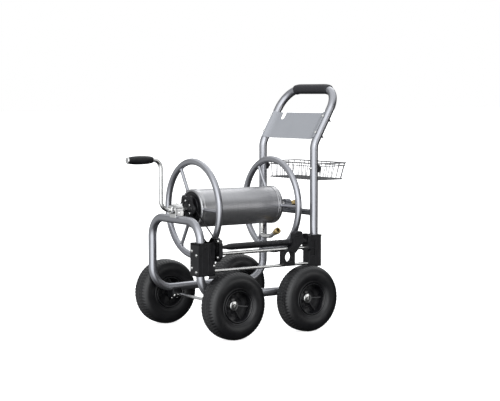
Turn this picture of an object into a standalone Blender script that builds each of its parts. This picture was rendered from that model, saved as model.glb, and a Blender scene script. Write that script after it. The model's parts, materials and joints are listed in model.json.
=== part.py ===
"""Garden hose reel cart: bent tube frame, hose drum with a chain-driven level wind,
crank, wire basket and four wheels.

Metres, +Z up. The reel's axle runs along X, with the crank at -X and the push handle
at +X. The origin is on the floor, under the middle of the cart's outer box.
"""
import math

import bmesh
import bpy
from mathutils import Matrix, Vector

GAP = 0.0003            # air between two pieces that touch
MID_X = 0.0185          # middle of the frame, so that the outer box is centred on the origin

# Frame
TUBE_R = 0.0159
SIDE_Y = 0.169          # centre plane of each side of the frame
CRANK_END_X = MID_X - 0.263
HANDLE_END_X = MID_X + 0.263
RAIL_Z = 0.153
RAIL_JOINT_X = MID_X - 0.045
FOOT_BEND_R = 0.085
HOOP_TOP_Z = 0.4347
HOOP_CORNER_R = 0.077
RAKE = math.radians(30)
RAKE_START_Z = 0.711
RAKE_BEND_R = 0.070
HANDLE_TOP_Z = 0.925
HANDLE_CORNER_R = 0.090
CROSS_BAR_R = 0.0115
CROSS_BAR_Z = 0.446

# Wheels
WHEEL_R = 0.127
WHEEL_STEPS = 20
TRACK_Y = 0.2376
AXLE_R = 0.006
SADDLE_HALF = 0.0195
HUB_INNER_Y = SIDE_Y + SADDLE_HALF + 2 * GAP
HUB_OUTER_Y = TRACK_Y - 0.002
AXLE_X = {"crank": MID_X - 0.163, "handle": MID_X + 0.1785}
SIDES = {"near": -1, "far": 1}

# Reel
REEL_Z = 0.4714
SHAFT_R = 0.010
RING_R = 0.1785
RING_TUBE_R = 0.0123
RING_X = {"crank": MID_X - 0.184, "inlet": MID_X + 0.182}
SPOKE_R = 0.0065
SPOKE_ANGLES = (30, 150, 270)   # degrees from straight up, turning towards +Y
DRUM_R = 0.0741
DRUM_END_X = {"crank": MID_X - 0.193, "inlet": MID_X + 0.188}
CRANK_ARM_X = MID_X - 0.328
CRANK_TIP_X = MID_X - 0.474
CRANK_THROW = 0.190
CRANK_ROD_R = 0.0080

# Level wind
GUIDE_Y = -0.181        # plane of the screw, guide bar and lower rod
SCREW_Z = 0.339
SCREW_R = 0.0125
GUIDE_BAR_Z = 0.315
GUIDE_BAR_R = 0.0070
LOWER_ROD_Z = 0.2528
LOWER_ROD_R = 0.0058
CHAIN_X = MID_X - 0.204
CHAIN_PITCH = 0.00635
REEL_TEETH = 24
SCREW_TEETH = 20
CASE_FACE_X = MID_X - 0.2115    # face of the gear case that the cover sits on
COVER_BACK_X = CASE_FACE_X + 0.0146
COVER_SOCKET = 0.0030           # how far the guide bar goes into the cover
RIGHT_BOSS_X = MID_X + 0.212    # face of the inlet-side bracket that the screw runs into
EYE_X = MID_X + 0.124            # middle of the eye that the hose runs through
EYE_Z = 0.2845
EYE_R = 0.0212

TURN = {
    "X": (0, math.pi / 2, 0),
    "-X": (0, -math.pi / 2, 0),
    "Y": (-math.pi / 2, 0, 0),
    "-Y": (math.pi / 2, 0, 0),
    "Z": (0, 0, 0),
    "YZ": (math.pi / 2, 0, math.pi / 2),    # an outline drawn in Y and Z, thick along X
    "XZ": (math.pi / 2, 0, 0),              # an outline drawn in X and Z, thick along Y
}

FINISHES = {    # colour, roughness, metallic
    "frame_steel": ((0.50, 0.51, 0.55), 0.32, 0.85),
    "drum_steel": ((0.46, 0.46, 0.48), 0.42, 0.80),
    "panel_steel": ((0.55, 0.55, 0.60), 0.45, 0.60),
    "zinc": ((0.75, 0.75, 0.74), 0.22, 1.0),
    "brass": ((0.62, 0.48, 0.24), 0.30, 1.0),
    "black_plastic": ((0.018, 0.018, 0.020), 0.45, 0.0),
    "black_enamel": ((0.020, 0.020, 0.022), 0.30, 0.3),
    "foam": ((0.022, 0.022, 0.024), 0.85, 0.0),
    "tyre": ((0.015, 0.015, 0.016), 0.75, 0.0),
    "rim_plastic": ((0.020, 0.020, 0.021), 0.40, 0.0),
    "basket_wire": ((0.30, 0.30, 0.31), 0.35, 0.80),
}


def clear_scene():
    for thing in list(bpy.data.objects):
        bpy.data.objects.remove(thing, do_unlink=True)


def new_collection(name):
    collection = bpy.data.collections.new(name)
    bpy.context.scene.collection.children.link(collection)
    return collection


def finish_material(name):
    if name in bpy.data.materials:
        return bpy.data.materials[name]
    colour, roughness, metallic = FINISHES[name]
    material = bpy.data.materials.new(name)
    material.use_nodes = True
    shader = material.node_tree.nodes["Principled BSDF"]
    shader.inputs["Base Color"].default_value = (*colour, 1.0)
    shader.inputs["Roughness"].default_value = roughness
    shader.inputs["Metallic"].default_value = metallic
    return material


clear_scene()
PARTS = new_collection("hose_reel_cart")
CUTTERS = new_collection("cutters")


def pivot(name, at):
    """An empty on a joint's axis, which the moving pieces hang from."""
    empty = bpy.data.objects.new(name, None)
    empty.location = at
    PARTS.objects.link(empty)
    return empty


def place(name, data, finish, at=(0, 0, 0), turn="Z", parent=None):
    """Make the object of one sub-part; at is in the cart's own frame."""
    part = bpy.data.objects.new(name, data)
    part.rotation_euler = TURN[turn] if isinstance(turn, str) else turn
    part.location = Vector(at) - (parent.location if parent else Vector())
    part.parent = parent
    data.materials.append(finish_material(finish))
    PARTS.objects.link(part)
    return part


def cut(part, data, at=(0, 0, 0), turn="Z", operation="DIFFERENCE"):
    """Cut a part with a hidden guide shape, or join the shape to it."""
    guide = bpy.data.objects.new(part.name + "_guide", data)
    guide.rotation_euler = TURN[turn] if isinstance(turn, str) else turn
    guide.location = at
    guide.hide_render = True
    guide.display_type = "WIRE"
    CUTTERS.objects.link(guide)
    boolean = part.modifiers.new("boolean", "BOOLEAN")
    boolean.operation = operation
    boolean.object = guide
    return guide


def box(size):
    mesh = bpy.data.meshes.new("box")
    bm = bmesh.new()
    bmesh.ops.create_cube(bm, size=1.0)
    bmesh.ops.scale(bm, vec=size, verts=bm.verts)
    bm.to_mesh(mesh)
    bm.free()
    return mesh


def rod(radius, length, sides=16, top_radius=None):
    """A straight round rod along Z, centred on its middle."""
    mesh = bpy.data.meshes.new("rod")
    bm = bmesh.new()
    bmesh.ops.create_cone(bm, cap_ends=True, segments=sides, radius1=radius,
                          radius2=top_radius or radius, depth=length)
    bm.to_mesh(mesh)
    bm.free()
    mesh.shade_smooth()
    mesh.set_sharp_from_angle(angle=math.radians(40))
    return mesh


def profile_mesh(profile, closed):
    """The half section of a turned piece: (radius, height) from top to bottom."""
    mesh = bpy.data.meshes.new("profile")
    bm = bmesh.new()
    verts = [bm.verts.new((radius, 0, height)) for radius, height in profile]
    for first, second in zip(verts, verts[1:]):
        bm.edges.new((first, second))
    if closed:
        bm.edges.new((verts[-1], verts[0]))
    bm.to_mesh(mesh)
    bm.free()
    return mesh


def add_screw(part, steps):
    screw = part.modifiers.new("turned", "SCREW")
    screw.axis = "Z"
    screw.angle = math.tau
    screw.steps = steps
    screw.render_steps = steps
    screw.use_merge_vertices = True
    screw.merge_threshold = 0.00001
    screw.use_smooth_shade = True


def turned(name, profile, finish, at, turn="Z", steps=24, closed=False, parent=None):
    part = place(name, profile_mesh(profile, closed), finish, at, turn, parent)
    add_screw(part, steps)
    return part


def turned_mesh(profile, steps, closed=False):
    """A turned shape as a plain mesh, to be copied into a group or a guide."""
    part = bpy.data.objects.new("template", profile_mesh(profile, closed))
    add_screw(part, steps)
    CUTTERS.objects.link(part)
    return evaluated_mesh(part)


def evaluated_mesh(part):
    """The finished mesh of an object, which is removed."""
    graph = bpy.context.evaluated_depsgraph_get()
    graph.update()
    mesh = bpy.data.meshes.new_from_object(part.evaluated_get(graph))
    bpy.data.objects.remove(part, do_unlink=True)
    bm = bmesh.new()
    bm.from_mesh(mesh)
    bmesh.ops.remove_doubles(bm, verts=bm.verts, dist=0.00001)
    bm.to_mesh(mesh)
    bm.free()
    return mesh


def copies(template, matrices):
    """Several copies of one mesh in a single guide shape."""
    bm = bmesh.new()
    for matrix in matrices:
        start = len(bm.verts)
        bm.from_mesh(template)
        bm.verts.ensure_lookup_table()
        bmesh.ops.transform(bm, matrix=matrix, verts=bm.verts[start:])
    mesh = bpy.data.meshes.new("copies")
    bm.to_mesh(mesh)
    bm.free()
    return mesh


def aimed(at, direction):
    """The matrix that stands a piece on a point with its +Z along a direction."""
    turn = Vector(direction).to_track_quat("Z", "Y").to_matrix().to_4x4()
    return Matrix.Translation(at) @ turn


def hex_bolt(name, point, direction, head_r, head_h, shank_r, shank, hosts, parent=None):
    """A hex bolt whose head sits on a point, and the hole it needs in each host."""
    turn = Vector(direction).to_track_quat("Z", "Y").to_euler()
    profile = [(0, GAP + head_h), (head_r * 0.8, GAP + head_h), (head_r, head_h * 0.75),
               (head_r, GAP), (shank_r, GAP), (shank_r, -shank), (0, -shank)]
    turned(name, profile, "zinc", point, turn, 6, parent=parent)
    hole_sides = 8
    hole = rod((shank_r + GAP) / math.cos(math.pi / hole_sides), shank + 4 * GAP, hole_sides)
    middle = Vector(point) + Vector(direction).normalized() * (GAP - shank / 2)
    for host in hosts:
        cut(host, hole, middle, turn)


def arc_path(corners, radii, steps_per_turn=24):
    """Points along straight runs joined by arcs, with one radius for each inner corner."""
    points = [Vector(corners[0])]
    for before, corner, after, radius in zip(corners, corners[1:], corners[2:], radii):
        corner = Vector(corner)
        back = (Vector(before) - corner).normalized()
        ahead = (Vector(after) - corner).normalized()
        half = back.angle(ahead) / 2
        centre = corner + (back + ahead).normalized() * radius / math.sin(half)
        arm = corner + back * radius / math.tan(half) - centre
        axis = arm.cross(-back)
        sweep = math.pi - 2 * half
        steps = max(2, round(steps_per_turn * sweep / math.tau))
        for step in range(steps + 1):
            points.append(centre + Matrix.Rotation(sweep * step / steps, 3, axis) @ arm)
    points.append(Vector(corners[-1]))
    return points


def tube_curve(points, radius, resolution=4, cyclic=False):
    """A round tube along points, with 4 + 2 * resolution sides."""
    curve = bpy.data.curves.new("tube", "CURVE")
    curve.dimensions = "3D"
    curve.bevel_depth = radius
    curve.bevel_resolution = resolution
    curve.use_fill_caps = not cyclic
    spline = curve.splines.new("POLY")
    spline.points.add(len(points) - 1)
    for point, position in zip(spline.points, points):
        point.co = (*position, 1.0)
    spline.use_cyclic_u = cyclic
    return curve


def tube_mesh(points, radius, resolution=4):
    part = bpy.data.objects.new("tube", tube_curve(points, radius, resolution))
    CUTTERS.objects.link(part)
    return evaluated_mesh(part)


def outline(loops, thickness):
    """A flat plate from closed loops of 2D points; an inner loop is a hole."""
    curve = bpy.data.curves.new("outline", "CURVE")
    curve.dimensions = "2D"
    curve.fill_mode = "BOTH"
    curve.extrude = thickness / 2
    for loop in loops:
        spline = curve.splines.new("POLY")
        spline.points.add(len(loop) - 1)
        for point, position in zip(spline.points, loop):
            point.co = (*position, 0.0, 1.0)
        spline.use_cyclic_u = True
    return curve


def outline_mesh(loops, thickness):
    part = bpy.data.objects.new("outline", outline(loops, thickness))
    CUTTERS.objects.link(part)
    return evaluated_mesh(part)


def arc(centre, radius, start, end, steps):
    """2D points on an arc, in degrees."""
    turns = [math.radians(start + (end - start) * step / steps) for step in range(steps + 1)]
    return [(centre[0] + radius * math.cos(turn), centre[1] + radius * math.sin(turn))
            for turn in turns]


def circle(centre, radius, sides):
    return arc(centre, radius, 0, 360 - 360 / sides, sides - 1)


def cope(radius, length):
    """A guide that leaves a gap all round a tube of this radius."""
    sides = 20
    return rod((radius + GAP) / math.cos(math.pi / sides), length, sides)


def soften(part, width, segments=1):
    bevel = part.modifiers.new("edges", "BEVEL")
    bevel.width = width
    bevel.segments = segments
    bevel.limit_method = "ANGLE"
    bevel.angle_limit = math.radians(50)


# ---------------------------------------------------------------- frame

def make_frame():
    """Two bent tubes: the crank-end hoop and the handle, plugged together in the rails."""
    hoop_path = arc_path(
        [(RAIL_JOINT_X, -SIDE_Y, RAIL_Z), (CRANK_END_X, -SIDE_Y, RAIL_Z),
         (CRANK_END_X, -SIDE_Y, HOOP_TOP_Z), (CRANK_END_X, SIDE_Y, HOOP_TOP_Z),
         (CRANK_END_X, SIDE_Y, RAIL_Z), (RAIL_JOINT_X, SIDE_Y, RAIL_Z)],
        [FOOT_BEND_R, HOOP_CORNER_R, HOOP_CORNER_R, FOOT_BEND_R])
    hoop = place("hoop_tube", tube_mesh(hoop_path, TUBE_R), "frame_steel")

    rise = HANDLE_TOP_Z - RAKE_START_Z
    top_x = HANDLE_END_X + rise * math.tan(RAKE)
    start_x = RAIL_JOINT_X + GAP
    handle_path = arc_path(
        [(start_x, -SIDE_Y, RAIL_Z), (HANDLE_END_X, -SIDE_Y, RAIL_Z),
         (HANDLE_END_X, -SIDE_Y, RAKE_START_Z), (top_x, -SIDE_Y, HANDLE_TOP_Z),
         (top_x, SIDE_Y, HANDLE_TOP_Z), (HANDLE_END_X, SIDE_Y, RAKE_START_Z),
         (HANDLE_END_X, SIDE_Y, RAIL_Z), (start_x, SIDE_Y, RAIL_Z)],
        [FOOT_BEND_R, RAKE_BEND_R, HANDLE_CORNER_R, HANDLE_CORNER_R, RAKE_BEND_R, FOOT_BEND_R])
    handle = place("handle_tube", tube_mesh(handle_path, TUBE_R), "frame_steel")

    plug_r = 0.0108
    plug_length = 0.040
    for side in SIDES.values():
        inside = (RAIL_JOINT_X, side * SIDE_Y, RAIL_Z)
        cut(hoop, rod(plug_r + 2 * GAP, 2 * (plug_length + GAP), 12), inside, "X")
        spigot_at = (RAIL_JOINT_X + GAP, side * SIDE_Y, RAIL_Z)
        cut(handle, rod(plug_r, 2 * plug_length, 12), spigot_at, "X", "UNION")

    bar = place("cross_bar", rod(CROSS_BAR_R, 2 * SIDE_Y, 16), "black_enamel",
                (HANDLE_END_X, 0, CROSS_BAR_Z), "Y")
    for side in SIDES.values():
        cut(bar, cope(TUBE_R, 0.1), (HANDLE_END_X, side * SIDE_Y, CROSS_BAR_Z))

    grip_half = 0.108
    grip_path = [point for point in handle_path
                 if abs(point.y) < grip_half and point.z > RAKE_START_Z]
    for end, at in ((-1, 0), (1, len(grip_path))):
        inner = grip_path[0] if end < 0 else grip_path[-1]
        outer = next(point for point in handle_path[::end] if point.z > RAKE_START_Z
                     and end * point.y > 0 and abs(point.y) < abs(inner.y) + 0.030
                     and abs(point.y) > grip_half)
        share = (grip_half - abs(inner.y)) / (abs(outer.y) - abs(inner.y))
        grip_path.insert(at if end < 0 else len(grip_path), inner.lerp(outer, share))
    grip = place("handle_grip", tube_mesh(grip_path, 0.0198), "foam")
    cut(grip, tube_mesh(handle_path, TUBE_R + GAP / math.cos(math.pi / 12)))
    return handle


def slant_point(along, out, y):
    """A point beside the raked handle tubes: distance up the rake, and out from its front."""
    return Vector((HANDLE_END_X + along * math.sin(RAKE) - out * math.cos(RAKE), y,
                   RAKE_START_Z + along * math.cos(RAKE) + out * math.sin(RAKE)))


def make_panel():
    """The plate across the raked tubes, curled over their fronts, with a notch on top."""
    thickness = 0.002
    low = 0.0192
    high = 0.1352
    notch_y = 0.102
    notch_r = 0.0115
    notch_depth = 0.032
    corner_r = 0.010
    wrap_r = TUBE_R + GAP + thickness / 2   # around the tube
    bend_r = 0.0564                         # the easy bend from the flat up to the tube
    lean = math.radians(32)                 # where the bend hands over to the wrap
    past = math.radians(10)                 # how far the edge goes beyond the tube's front
    flat_y = SIDE_Y - (wrap_r + bend_r) * math.sin(lean)
    flat_out = (wrap_r + bend_r) * math.cos(lean) - bend_r
    wrap_start = flat_y + bend_r * lean
    half_width = wrap_start + wrap_r * (lean + past)

    bottom = high - notch_depth + notch_r
    loop = arc((half_width - corner_r, high - corner_r), corner_r, 0, 90, 3)
    loop += [(notch_y + notch_r, high)]
    loop += arc((notch_y, bottom), notch_r, 0, -180, 8)
    loop += [(notch_y - notch_r, high)]
    loop += arc((corner_r - half_width, high - corner_r), corner_r, 90, 180, 3)
    loop += arc((corner_r - half_width, low + corner_r), corner_r, 180, 270, 3)
    loop += arc((half_width - corner_r, low + corner_r), corner_r, 270, 360, 3)

    folds = [flat_y + bend_r * lean * step / 4 for step in range(5)]
    folds += [wrap_start + wrap_r * (lean + past) * step / 6 for step in range(1, 6)]
    folds += [half_width - corner_r + corner_r * math.cos(math.radians(turn))
              for turn in (30, 60, 90)]
    sheet = outline_mesh([loop], thickness)
    bm = bmesh.new()
    bm.from_mesh(sheet)
    for fold in folds:
        for side in SIDES.values():
            bmesh.ops.bisect_plane(bm, geom=bm.verts[:] + bm.edges[:] + bm.faces[:],
                                   dist=0.00001, plane_co=(side * fold, 0, 0),
                                   plane_no=(1, 0, 0))
    for vert in bm.verts:
        across, along, height = vert.co
        reach = abs(across)
        if reach <= flat_y:
            y, out = reach, flat_out + height
        elif reach <= wrap_start:
            turn = (reach - flat_y) / bend_r
            y = flat_y + (bend_r - height) * math.sin(turn)
            out = flat_out + bend_r - (bend_r - height) * math.cos(turn)
        else:
            turn = lean - (reach - wrap_start) / wrap_r
            y = SIDE_Y - (wrap_r + height) * math.sin(turn)
            out = (wrap_r + height) * math.cos(turn)
        vert.co = slant_point(along, out, math.copysign(y, across))
    bmesh.ops.reverse_faces(bm, faces=bm.faces)     # the map above is a mirror
    bm.to_mesh(sheet)
    bm.free()
    place("panel_plate", sheet, "panel_steel")


def make_basket(handle):
    """The open basket behind the handle, and the two clamps that hold it."""
    back_x = MID_X + 0.2855
    rim_x = MID_X + 0.437
    floor_x = MID_X + 0.4205
    floor_z = 0.570
    rim_z = 0.636
    flare_y = 0.007
    mesh = box((1, 1, 1))
    bm = bmesh.new()
    bm.from_mesh(mesh)
    for vert in bm.verts:
        top = vert.co.z > 0
        outer_x = rim_x if top else floor_x
        half_y = 0.160 + flare_y if top else 0.160
        vert.co = (outer_x if vert.co.x > 0 else back_x, math.copysign(half_y, vert.co.y),
                   rim_z if top else floor_z)
    lid = max(bm.faces, key=lambda face: face.calc_center_median().z)
    bmesh.ops.delete(bm, geom=[lid], context="FACES_ONLY")
    bm.to_mesh(mesh)
    bm.free()
    basket = place("wire_basket", mesh, "basket_wire")
    shell = basket.modifiers.new("wall", "SOLIDIFY")
    shell.thickness = 0.003
    shell.offset = -1.0
    shell.use_even_offset = True

    clamp_z = 0.617
    clamp_front = HANDLE_END_X + TUBE_R - 0.006
    clamp_back = back_x - 2 * GAP
    for side_name, side in SIDES.items():
        clamp = place(f"basket_clamp_{side_name}", box((clamp_back - clamp_front, 0.020, 0.032)),
                      "black_plastic", ((clamp_front + clamp_back) / 2, side * SIDE_Y, clamp_z))
        soften(clamp, 0.003, 2)
        cut(clamp, cope(TUBE_R, 0.1), (HANDLE_END_X, side * SIDE_Y, clamp_z))
        hex_bolt(f"basket_bolt_{side_name}", (HANDLE_END_X - TUBE_R, side * SIDE_Y, clamp_z),
                 (-1, 0, 0), 0.0060, 0.004, 0.003, 2 * TUBE_R + 0.0045, [handle, clamp])


# ---------------------------------------------------------------- wheels

def make_axle(end):
    """An axle under the rails with its two saddles, and the caps that keep the wheels on."""
    axle_x = AXLE_X[end]
    axle_half = HUB_OUTER_Y + 0.0050
    place(f"axle_{end}", rod(AXLE_R, 2 * axle_half, 16), "zinc", (axle_x, 0, WHEEL_R), "Y")
    bore = AXLE_R + 2 * GAP
    cap = [(0, 0.009), (0.012, 0.008), (0.019, 0.002), (0.019, 0), (bore, 0), (bore, 0.005),
           (0, 0.005)]
    bottom = WHEEL_R - 0.015
    top = RAIL_Z - 0.003
    for side_name, side in SIDES.items():
        saddle = place(f"axle_saddle_{end}_{side_name}",
                       box((2 * SADDLE_HALF, 2 * SADDLE_HALF, top - bottom)), "black_plastic",
                       (axle_x, side * SIDE_Y, (bottom + top) / 2))
        soften(saddle, 0.002)
        cut(saddle, cope(TUBE_R, 0.1), (axle_x, side * SIDE_Y, RAIL_Z), "X")
        cut(saddle, cope(AXLE_R + GAP, 0.1), (axle_x, side * SIDE_Y, WHEEL_R), "Y")
        turned(f"axle_cap_{end}_{side_name}", cap, "zinc",
               (axle_x, side * (HUB_OUTER_Y + 2 * GAP), WHEEL_R), "Y" if side > 0 else "-Y", 16)


def make_wheel(end, side_name):
    """A moulded rim with its hub, and a wide tyre that stands on one of its flats."""
    side = SIDES[side_name]
    at = (AXLE_X[end], side * TRACK_Y, WHEEL_R)
    turn_x = -math.pi / 2 * side
    turn = (turn_x, math.pi / WHEEL_STEPS, 0)
    axis = pivot(f"wheel_{end}_{side_name}_axis", at)
    tread_r = WHEEL_R / math.cos(math.pi / WHEEL_STEPS)
    bead_r = 0.0612
    half = 0.0425
    tyre = [(bead_r, 0.035), (0.078, 0.0415), (0.098, half), (0.1155, 0.0370), (0.1232, 0.0285),
            (tread_r, 0.020)]
    tyre += [(radius, -y) for radius, y in reversed(tyre)]
    turned(f"tyre_{end}_{side_name}", tyre, "tyre", at, turn, WHEEL_STEPS, True, axis)
    bore = AXLE_R + 2 * GAP
    hub_r = 0.0165
    rim_r = bead_r - 2 * GAP
    rim = [(rim_r, 0.036), (rim_r, -0.036), (0.0560, -0.036), (0.0530, -0.012),
           (hub_r, -0.012), (hub_r, HUB_INNER_Y - TRACK_Y), (bore, HUB_INNER_Y - TRACK_Y),
           (bore, HUB_OUTER_Y - TRACK_Y), (hub_r, HUB_OUTER_Y - TRACK_Y),
           (hub_r, -0.004), (0.0530, -0.004), (0.0565, 0.036)]
    turned(f"rim_{end}_{side_name}", rim, "rim_plastic", at, turn, WHEEL_STEPS, True, axis)


# ---------------------------------------------------------------- reel

def make_drum(reel):
    """The barrel, its two dished ends, the flange rings and their spokes."""
    skin = 0.0016
    barrel_r = DRUM_R - skin - GAP
    low = DRUM_END_X["crank"] + 0.0066
    high = DRUM_END_X["inlet"] - 0.0066
    half = (high - low) / 2
    turned("drum_barrel", [(barrel_r, half), (barrel_r, -half), (barrel_r - skin, -half),
                           (barrel_r - skin, half)],
           "drum_steel", ((low + high) / 2, 0, REEL_Z), "X", 32, True, reel)
    bore = SHAFT_R + GAP
    skirt = 0.022
    recess = 0.0045
    inner = DRUM_R - skin
    cap = [(DRUM_R - 0.003, 0), (DRUM_R, -0.003), (DRUM_R, -skirt), (inner, -skirt),
           (inner, -recess - skin), (bore, -recess - skin), (bore, -recess),
           (DRUM_R - 0.010, -recess), (DRUM_R - 0.007, 0)]
    for end, turn in (("crank", "-X"), ("inlet", "X")):
        turned(f"drum_end_{end}", cap, "drum_steel", (DRUM_END_X[end], 0, REEL_Z), turn, 32,
               True, reel)
    circle_points = [Vector((0, y, z)) for y, z in circle((0, 0), RING_R, 36)]
    spoke = rod(SPOKE_R, RING_R - DRUM_R, 10)
    middle = (RING_R + DRUM_R) / 2
    places = []
    for angle in SPOKE_ANGLES:
        out = Vector((0, math.sin(math.radians(angle)), math.cos(math.radians(angle))))
        places.append(aimed(out * middle, out))
    for end, ring_x in RING_X.items():
        centre = Vector((ring_x, 0, REEL_Z))
        hoop = place(f"flange_ring_{end}", ring_mesh(circle_points, RING_TUBE_R), "frame_steel",
                     centre, parent=reel)
        cut(hoop, copies(spoke, places), centre, operation="UNION")
        drum_cut = rod((DRUM_R + GAP) / math.cos(math.pi / 36), 0.05, 36)
        cut(hoop, drum_cut, centre, "X")


def ring_mesh(points, radius):
    part = bpy.data.objects.new("ring", tube_curve(points, radius, 3, cyclic=True))
    CUTTERS.objects.link(part)
    return evaluated_mesh(part)


def make_shaft(reel):
    """The shaft through the drum: hollow for the crank rod at one end, a spigot at the other."""
    crank_face = MID_X - 0.290
    shoulder = MID_X + 0.2695
    spigot_end = MID_X + 0.285
    socket_r = CRANK_ROD_R + GAP
    socket = 0.040
    length = spigot_end - crank_face
    neck = spigot_end - shoulder
    profile = [(0, 0), (0.0075, 0), (0.0075, -neck), (SHAFT_R, -neck), (SHAFT_R, -length),
               (socket_r, -length), (socket_r, socket - length), (0, socket - length)]
    turned("reel_shaft", profile, "zinc", (spigot_end, 0, REEL_Z), "X", 20, parent=reel)


def make_hub(reel):
    """The six-lobed flange on the crank end of the drum, its bolts and the backing disc."""
    face_x = MID_X - 0.2155
    thickness = 0.007
    lobes = 6
    loop = []
    steps = 48
    for step in range(steps):
        angle = math.tau * step / steps
        radius = 0.052 + 0.006 * math.cos(lobes * angle)
        loop.append((radius * math.cos(angle), radius * math.sin(angle)))
    bore = circle((0, 0), SHAFT_R + GAP, 16)
    hub = place("lobed_hub", outline_mesh([loop, bore], thickness), "black_plastic",
                (face_x + thickness / 2, 0, REEL_Z), "YZ", reel)
    collar = [(0.016, 0.004), (0.022, -0.002), (SHAFT_R + GAP, -0.002), (SHAFT_R + GAP, 0.004)]
    cut(hub, turned_mesh(collar, 20, closed=True), (face_x, 0, REEL_Z), "-X", "UNION")
    disc = [(0.050, 0), (0.050, -0.0070), (SHAFT_R + GAP, -0.0070), (SHAFT_R + GAP, 0)]
    turned("hub_backing_disc", disc, "black_plastic", (MID_X - 0.1965, 0, REEL_Z), "-X", 28,
           True, reel)


def sprocket_mesh(teeth, bore_r, thickness):
    tip_r = sprocket_tip(teeth)
    root_r = tip_r - 0.0022
    loop = []
    for tooth in range(teeth):
        for part, radius in ((0.0, root_r), (0.35, tip_r), (0.65, tip_r)):
            angle = math.tau * (tooth + part) / teeth
            loop.append((radius * math.cos(angle), radius * math.sin(angle)))
    return outline_mesh([loop, circle((0, 0), bore_r, 16)], thickness)


def sprocket_tip(teeth):
    return CHAIN_PITCH / (2 * math.sin(math.pi / teeth)) - 0.0004


def make_chain_drive(reel, screw):
    """Two sprockets and the chain loop between them, in one plane beside the crank-end ring."""
    thickness = 0.003
    place("reel_sprocket", sprocket_mesh(REEL_TEETH, SHAFT_R + GAP, thickness), "zinc",
          (CHAIN_X, 0, REEL_Z), "YZ", reel)
    place("screw_sprocket", sprocket_mesh(SCREW_TEETH, AXLE_R + GAP, thickness), "zinc",
          (CHAIN_X, GUIDE_Y, SCREW_Z), "YZ", screw)
    band = 0.0045
    inner = belt_loop(2 * GAP)
    outer = belt_loop(2 * GAP + band)
    place("drive_chain", outline_mesh([outer, inner], 0.005), "black_enamel",
          (CHAIN_X, 0, 0), "YZ")


def belt_loop(offset):
    """A loop around both sprockets, in Y and Z, at a distance outside their tips."""
    big_centre = Vector((0, REEL_Z))
    small_centre = Vector((GUIDE_Y, SCREW_Z))
    big_r = sprocket_tip(REEL_TEETH) + offset
    small_r = sprocket_tip(SCREW_TEETH) + offset
    line = small_centre - big_centre
    heading = math.degrees(math.atan2(line.y, line.x))
    lean = math.degrees(math.acos((big_r - small_r) / line.length))
    loop = arc(big_centre, big_r, heading + lean, heading + 360 - lean, 18)
    loop += arc(small_centre, small_r, heading - lean, heading + lean, 14)
    return loop


def make_crank(reel, grip_axis):
    """The bent crank rod, its clamp collar, and the grip that turns on it."""
    grip_z = REEL_Z + CRANK_THROW
    rod_start = MID_X - 0.255
    rod_end = CRANK_TIP_X + 0.0055
    path = arc_path([(rod_start, 0, REEL_Z), (CRANK_ARM_X, 0, REEL_Z), (CRANK_ARM_X, 0, grip_z),
                     (rod_end, 0, grip_z)], [0.036, 0.034])
    local = [point - reel.location for point in path]
    place("crank_arm", tube_curve(local, CRANK_ROD_R, 3), "zinc", reel.location, parent=reel)

    collar_r = 0.0165
    collar_x = MID_X - 0.2845
    collar = turned("crank_collar", [(collar_r, 0.006), (collar_r, -0.006),
                                     (SHAFT_R + GAP, -0.006), (SHAFT_R + GAP, 0.006)],
                    "zinc", (collar_x, 0, REEL_Z), "X", 20, True, reel)
    lean = Vector((0, -0.8, 0.6))
    seat = Vector((collar_x, 0, REEL_Z)) + lean * collar_r
    hex_bolt("crank_bolt", seat, lean, 0.0055, 0.0045, 0.003, 0.0055, [collar], reel)

    length = 0.104
    bore = CRANK_ROD_R + GAP
    profile = [(0.0125, length / 2), (0.0148, length * 0.40), (0.0162, length * 0.15),
               (0.0162, -length * 0.15), (0.0148, -length * 0.40), (0.0125, -length / 2),
               (bore, -length / 2), (bore, length / 2)]
    middle = CRANK_TIP_X + 0.005 + GAP + length / 2
    turned("crank_grip", profile, "black_plastic", (middle, 0, grip_z), "-X", 20, True,
           grip_axis)
    turned("grip_end_cap", [(0, 0.005), (0.0105, 0.005), (0.0125, 0.0035), (0.0125, 0),
                            (0, 0)],
           "zinc", (CRANK_TIP_X + 0.005, 0, grip_z), "-X", 20, parent=reel)


def make_outlet(reel):
    """The water pipe that leaves the drum's underside, and its brass hose fitting."""
    pipe_x = MID_X + 0.163
    out = Vector((0, -math.cos(math.radians(28)), math.sin(math.radians(28))))
    mouth = Vector((pipe_x, -0.0510, 0.3642))
    root = Vector((pipe_x, 0.037, REEL_Z - 0.056))
    bend = Vector((pipe_x, 0.037, 0.3440))
    turn = mouth - out * 0.033
    local = [point - reel.location for point in arc_path([root, bend, turn, mouth],
                                                         [0.014, 0.012])]
    pipe = place("outlet_pipe", tube_mesh(local, 0.0085, 3), "zinc", reel.location,
                 parent=reel)
    drum_cut = rod((DRUM_R + GAP) / math.cos(math.pi / 48), 0.08, 48)
    cut(pipe, drum_cut, (pipe_x, 0, REEL_Z), "X")
    bore = 0.0075
    fitting = [(0, 0.006), (bore, 0.006), (bore, 0.024), (0.0117, 0.024), (0.0125, 0.021),
               (0.0125, 0.010), (0.0106, 0.008), (0.0106, 0), (0, 0)]
    turned("outlet_fitting", fitting, "brass", mouth + out * GAP,
           out.to_track_quat("Z", "Y").to_euler(), 20, parent=reel)


# ---------------------------------------------------------------- bearings and inlet

def bearing_block(name, x, width, half, foot_z, bore_r, finish):
    """A round-topped pillow block standing on a cross tube."""
    loop = arc((0, REEL_Z), half, 0, 180, 12) + [(-half, foot_z), (half, foot_z)]
    mesh = outline_mesh([loop, circle((0, REEL_Z), bore_r, 20)], width)
    return place(name, mesh, finish, (x, 0, 0), "YZ")


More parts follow.
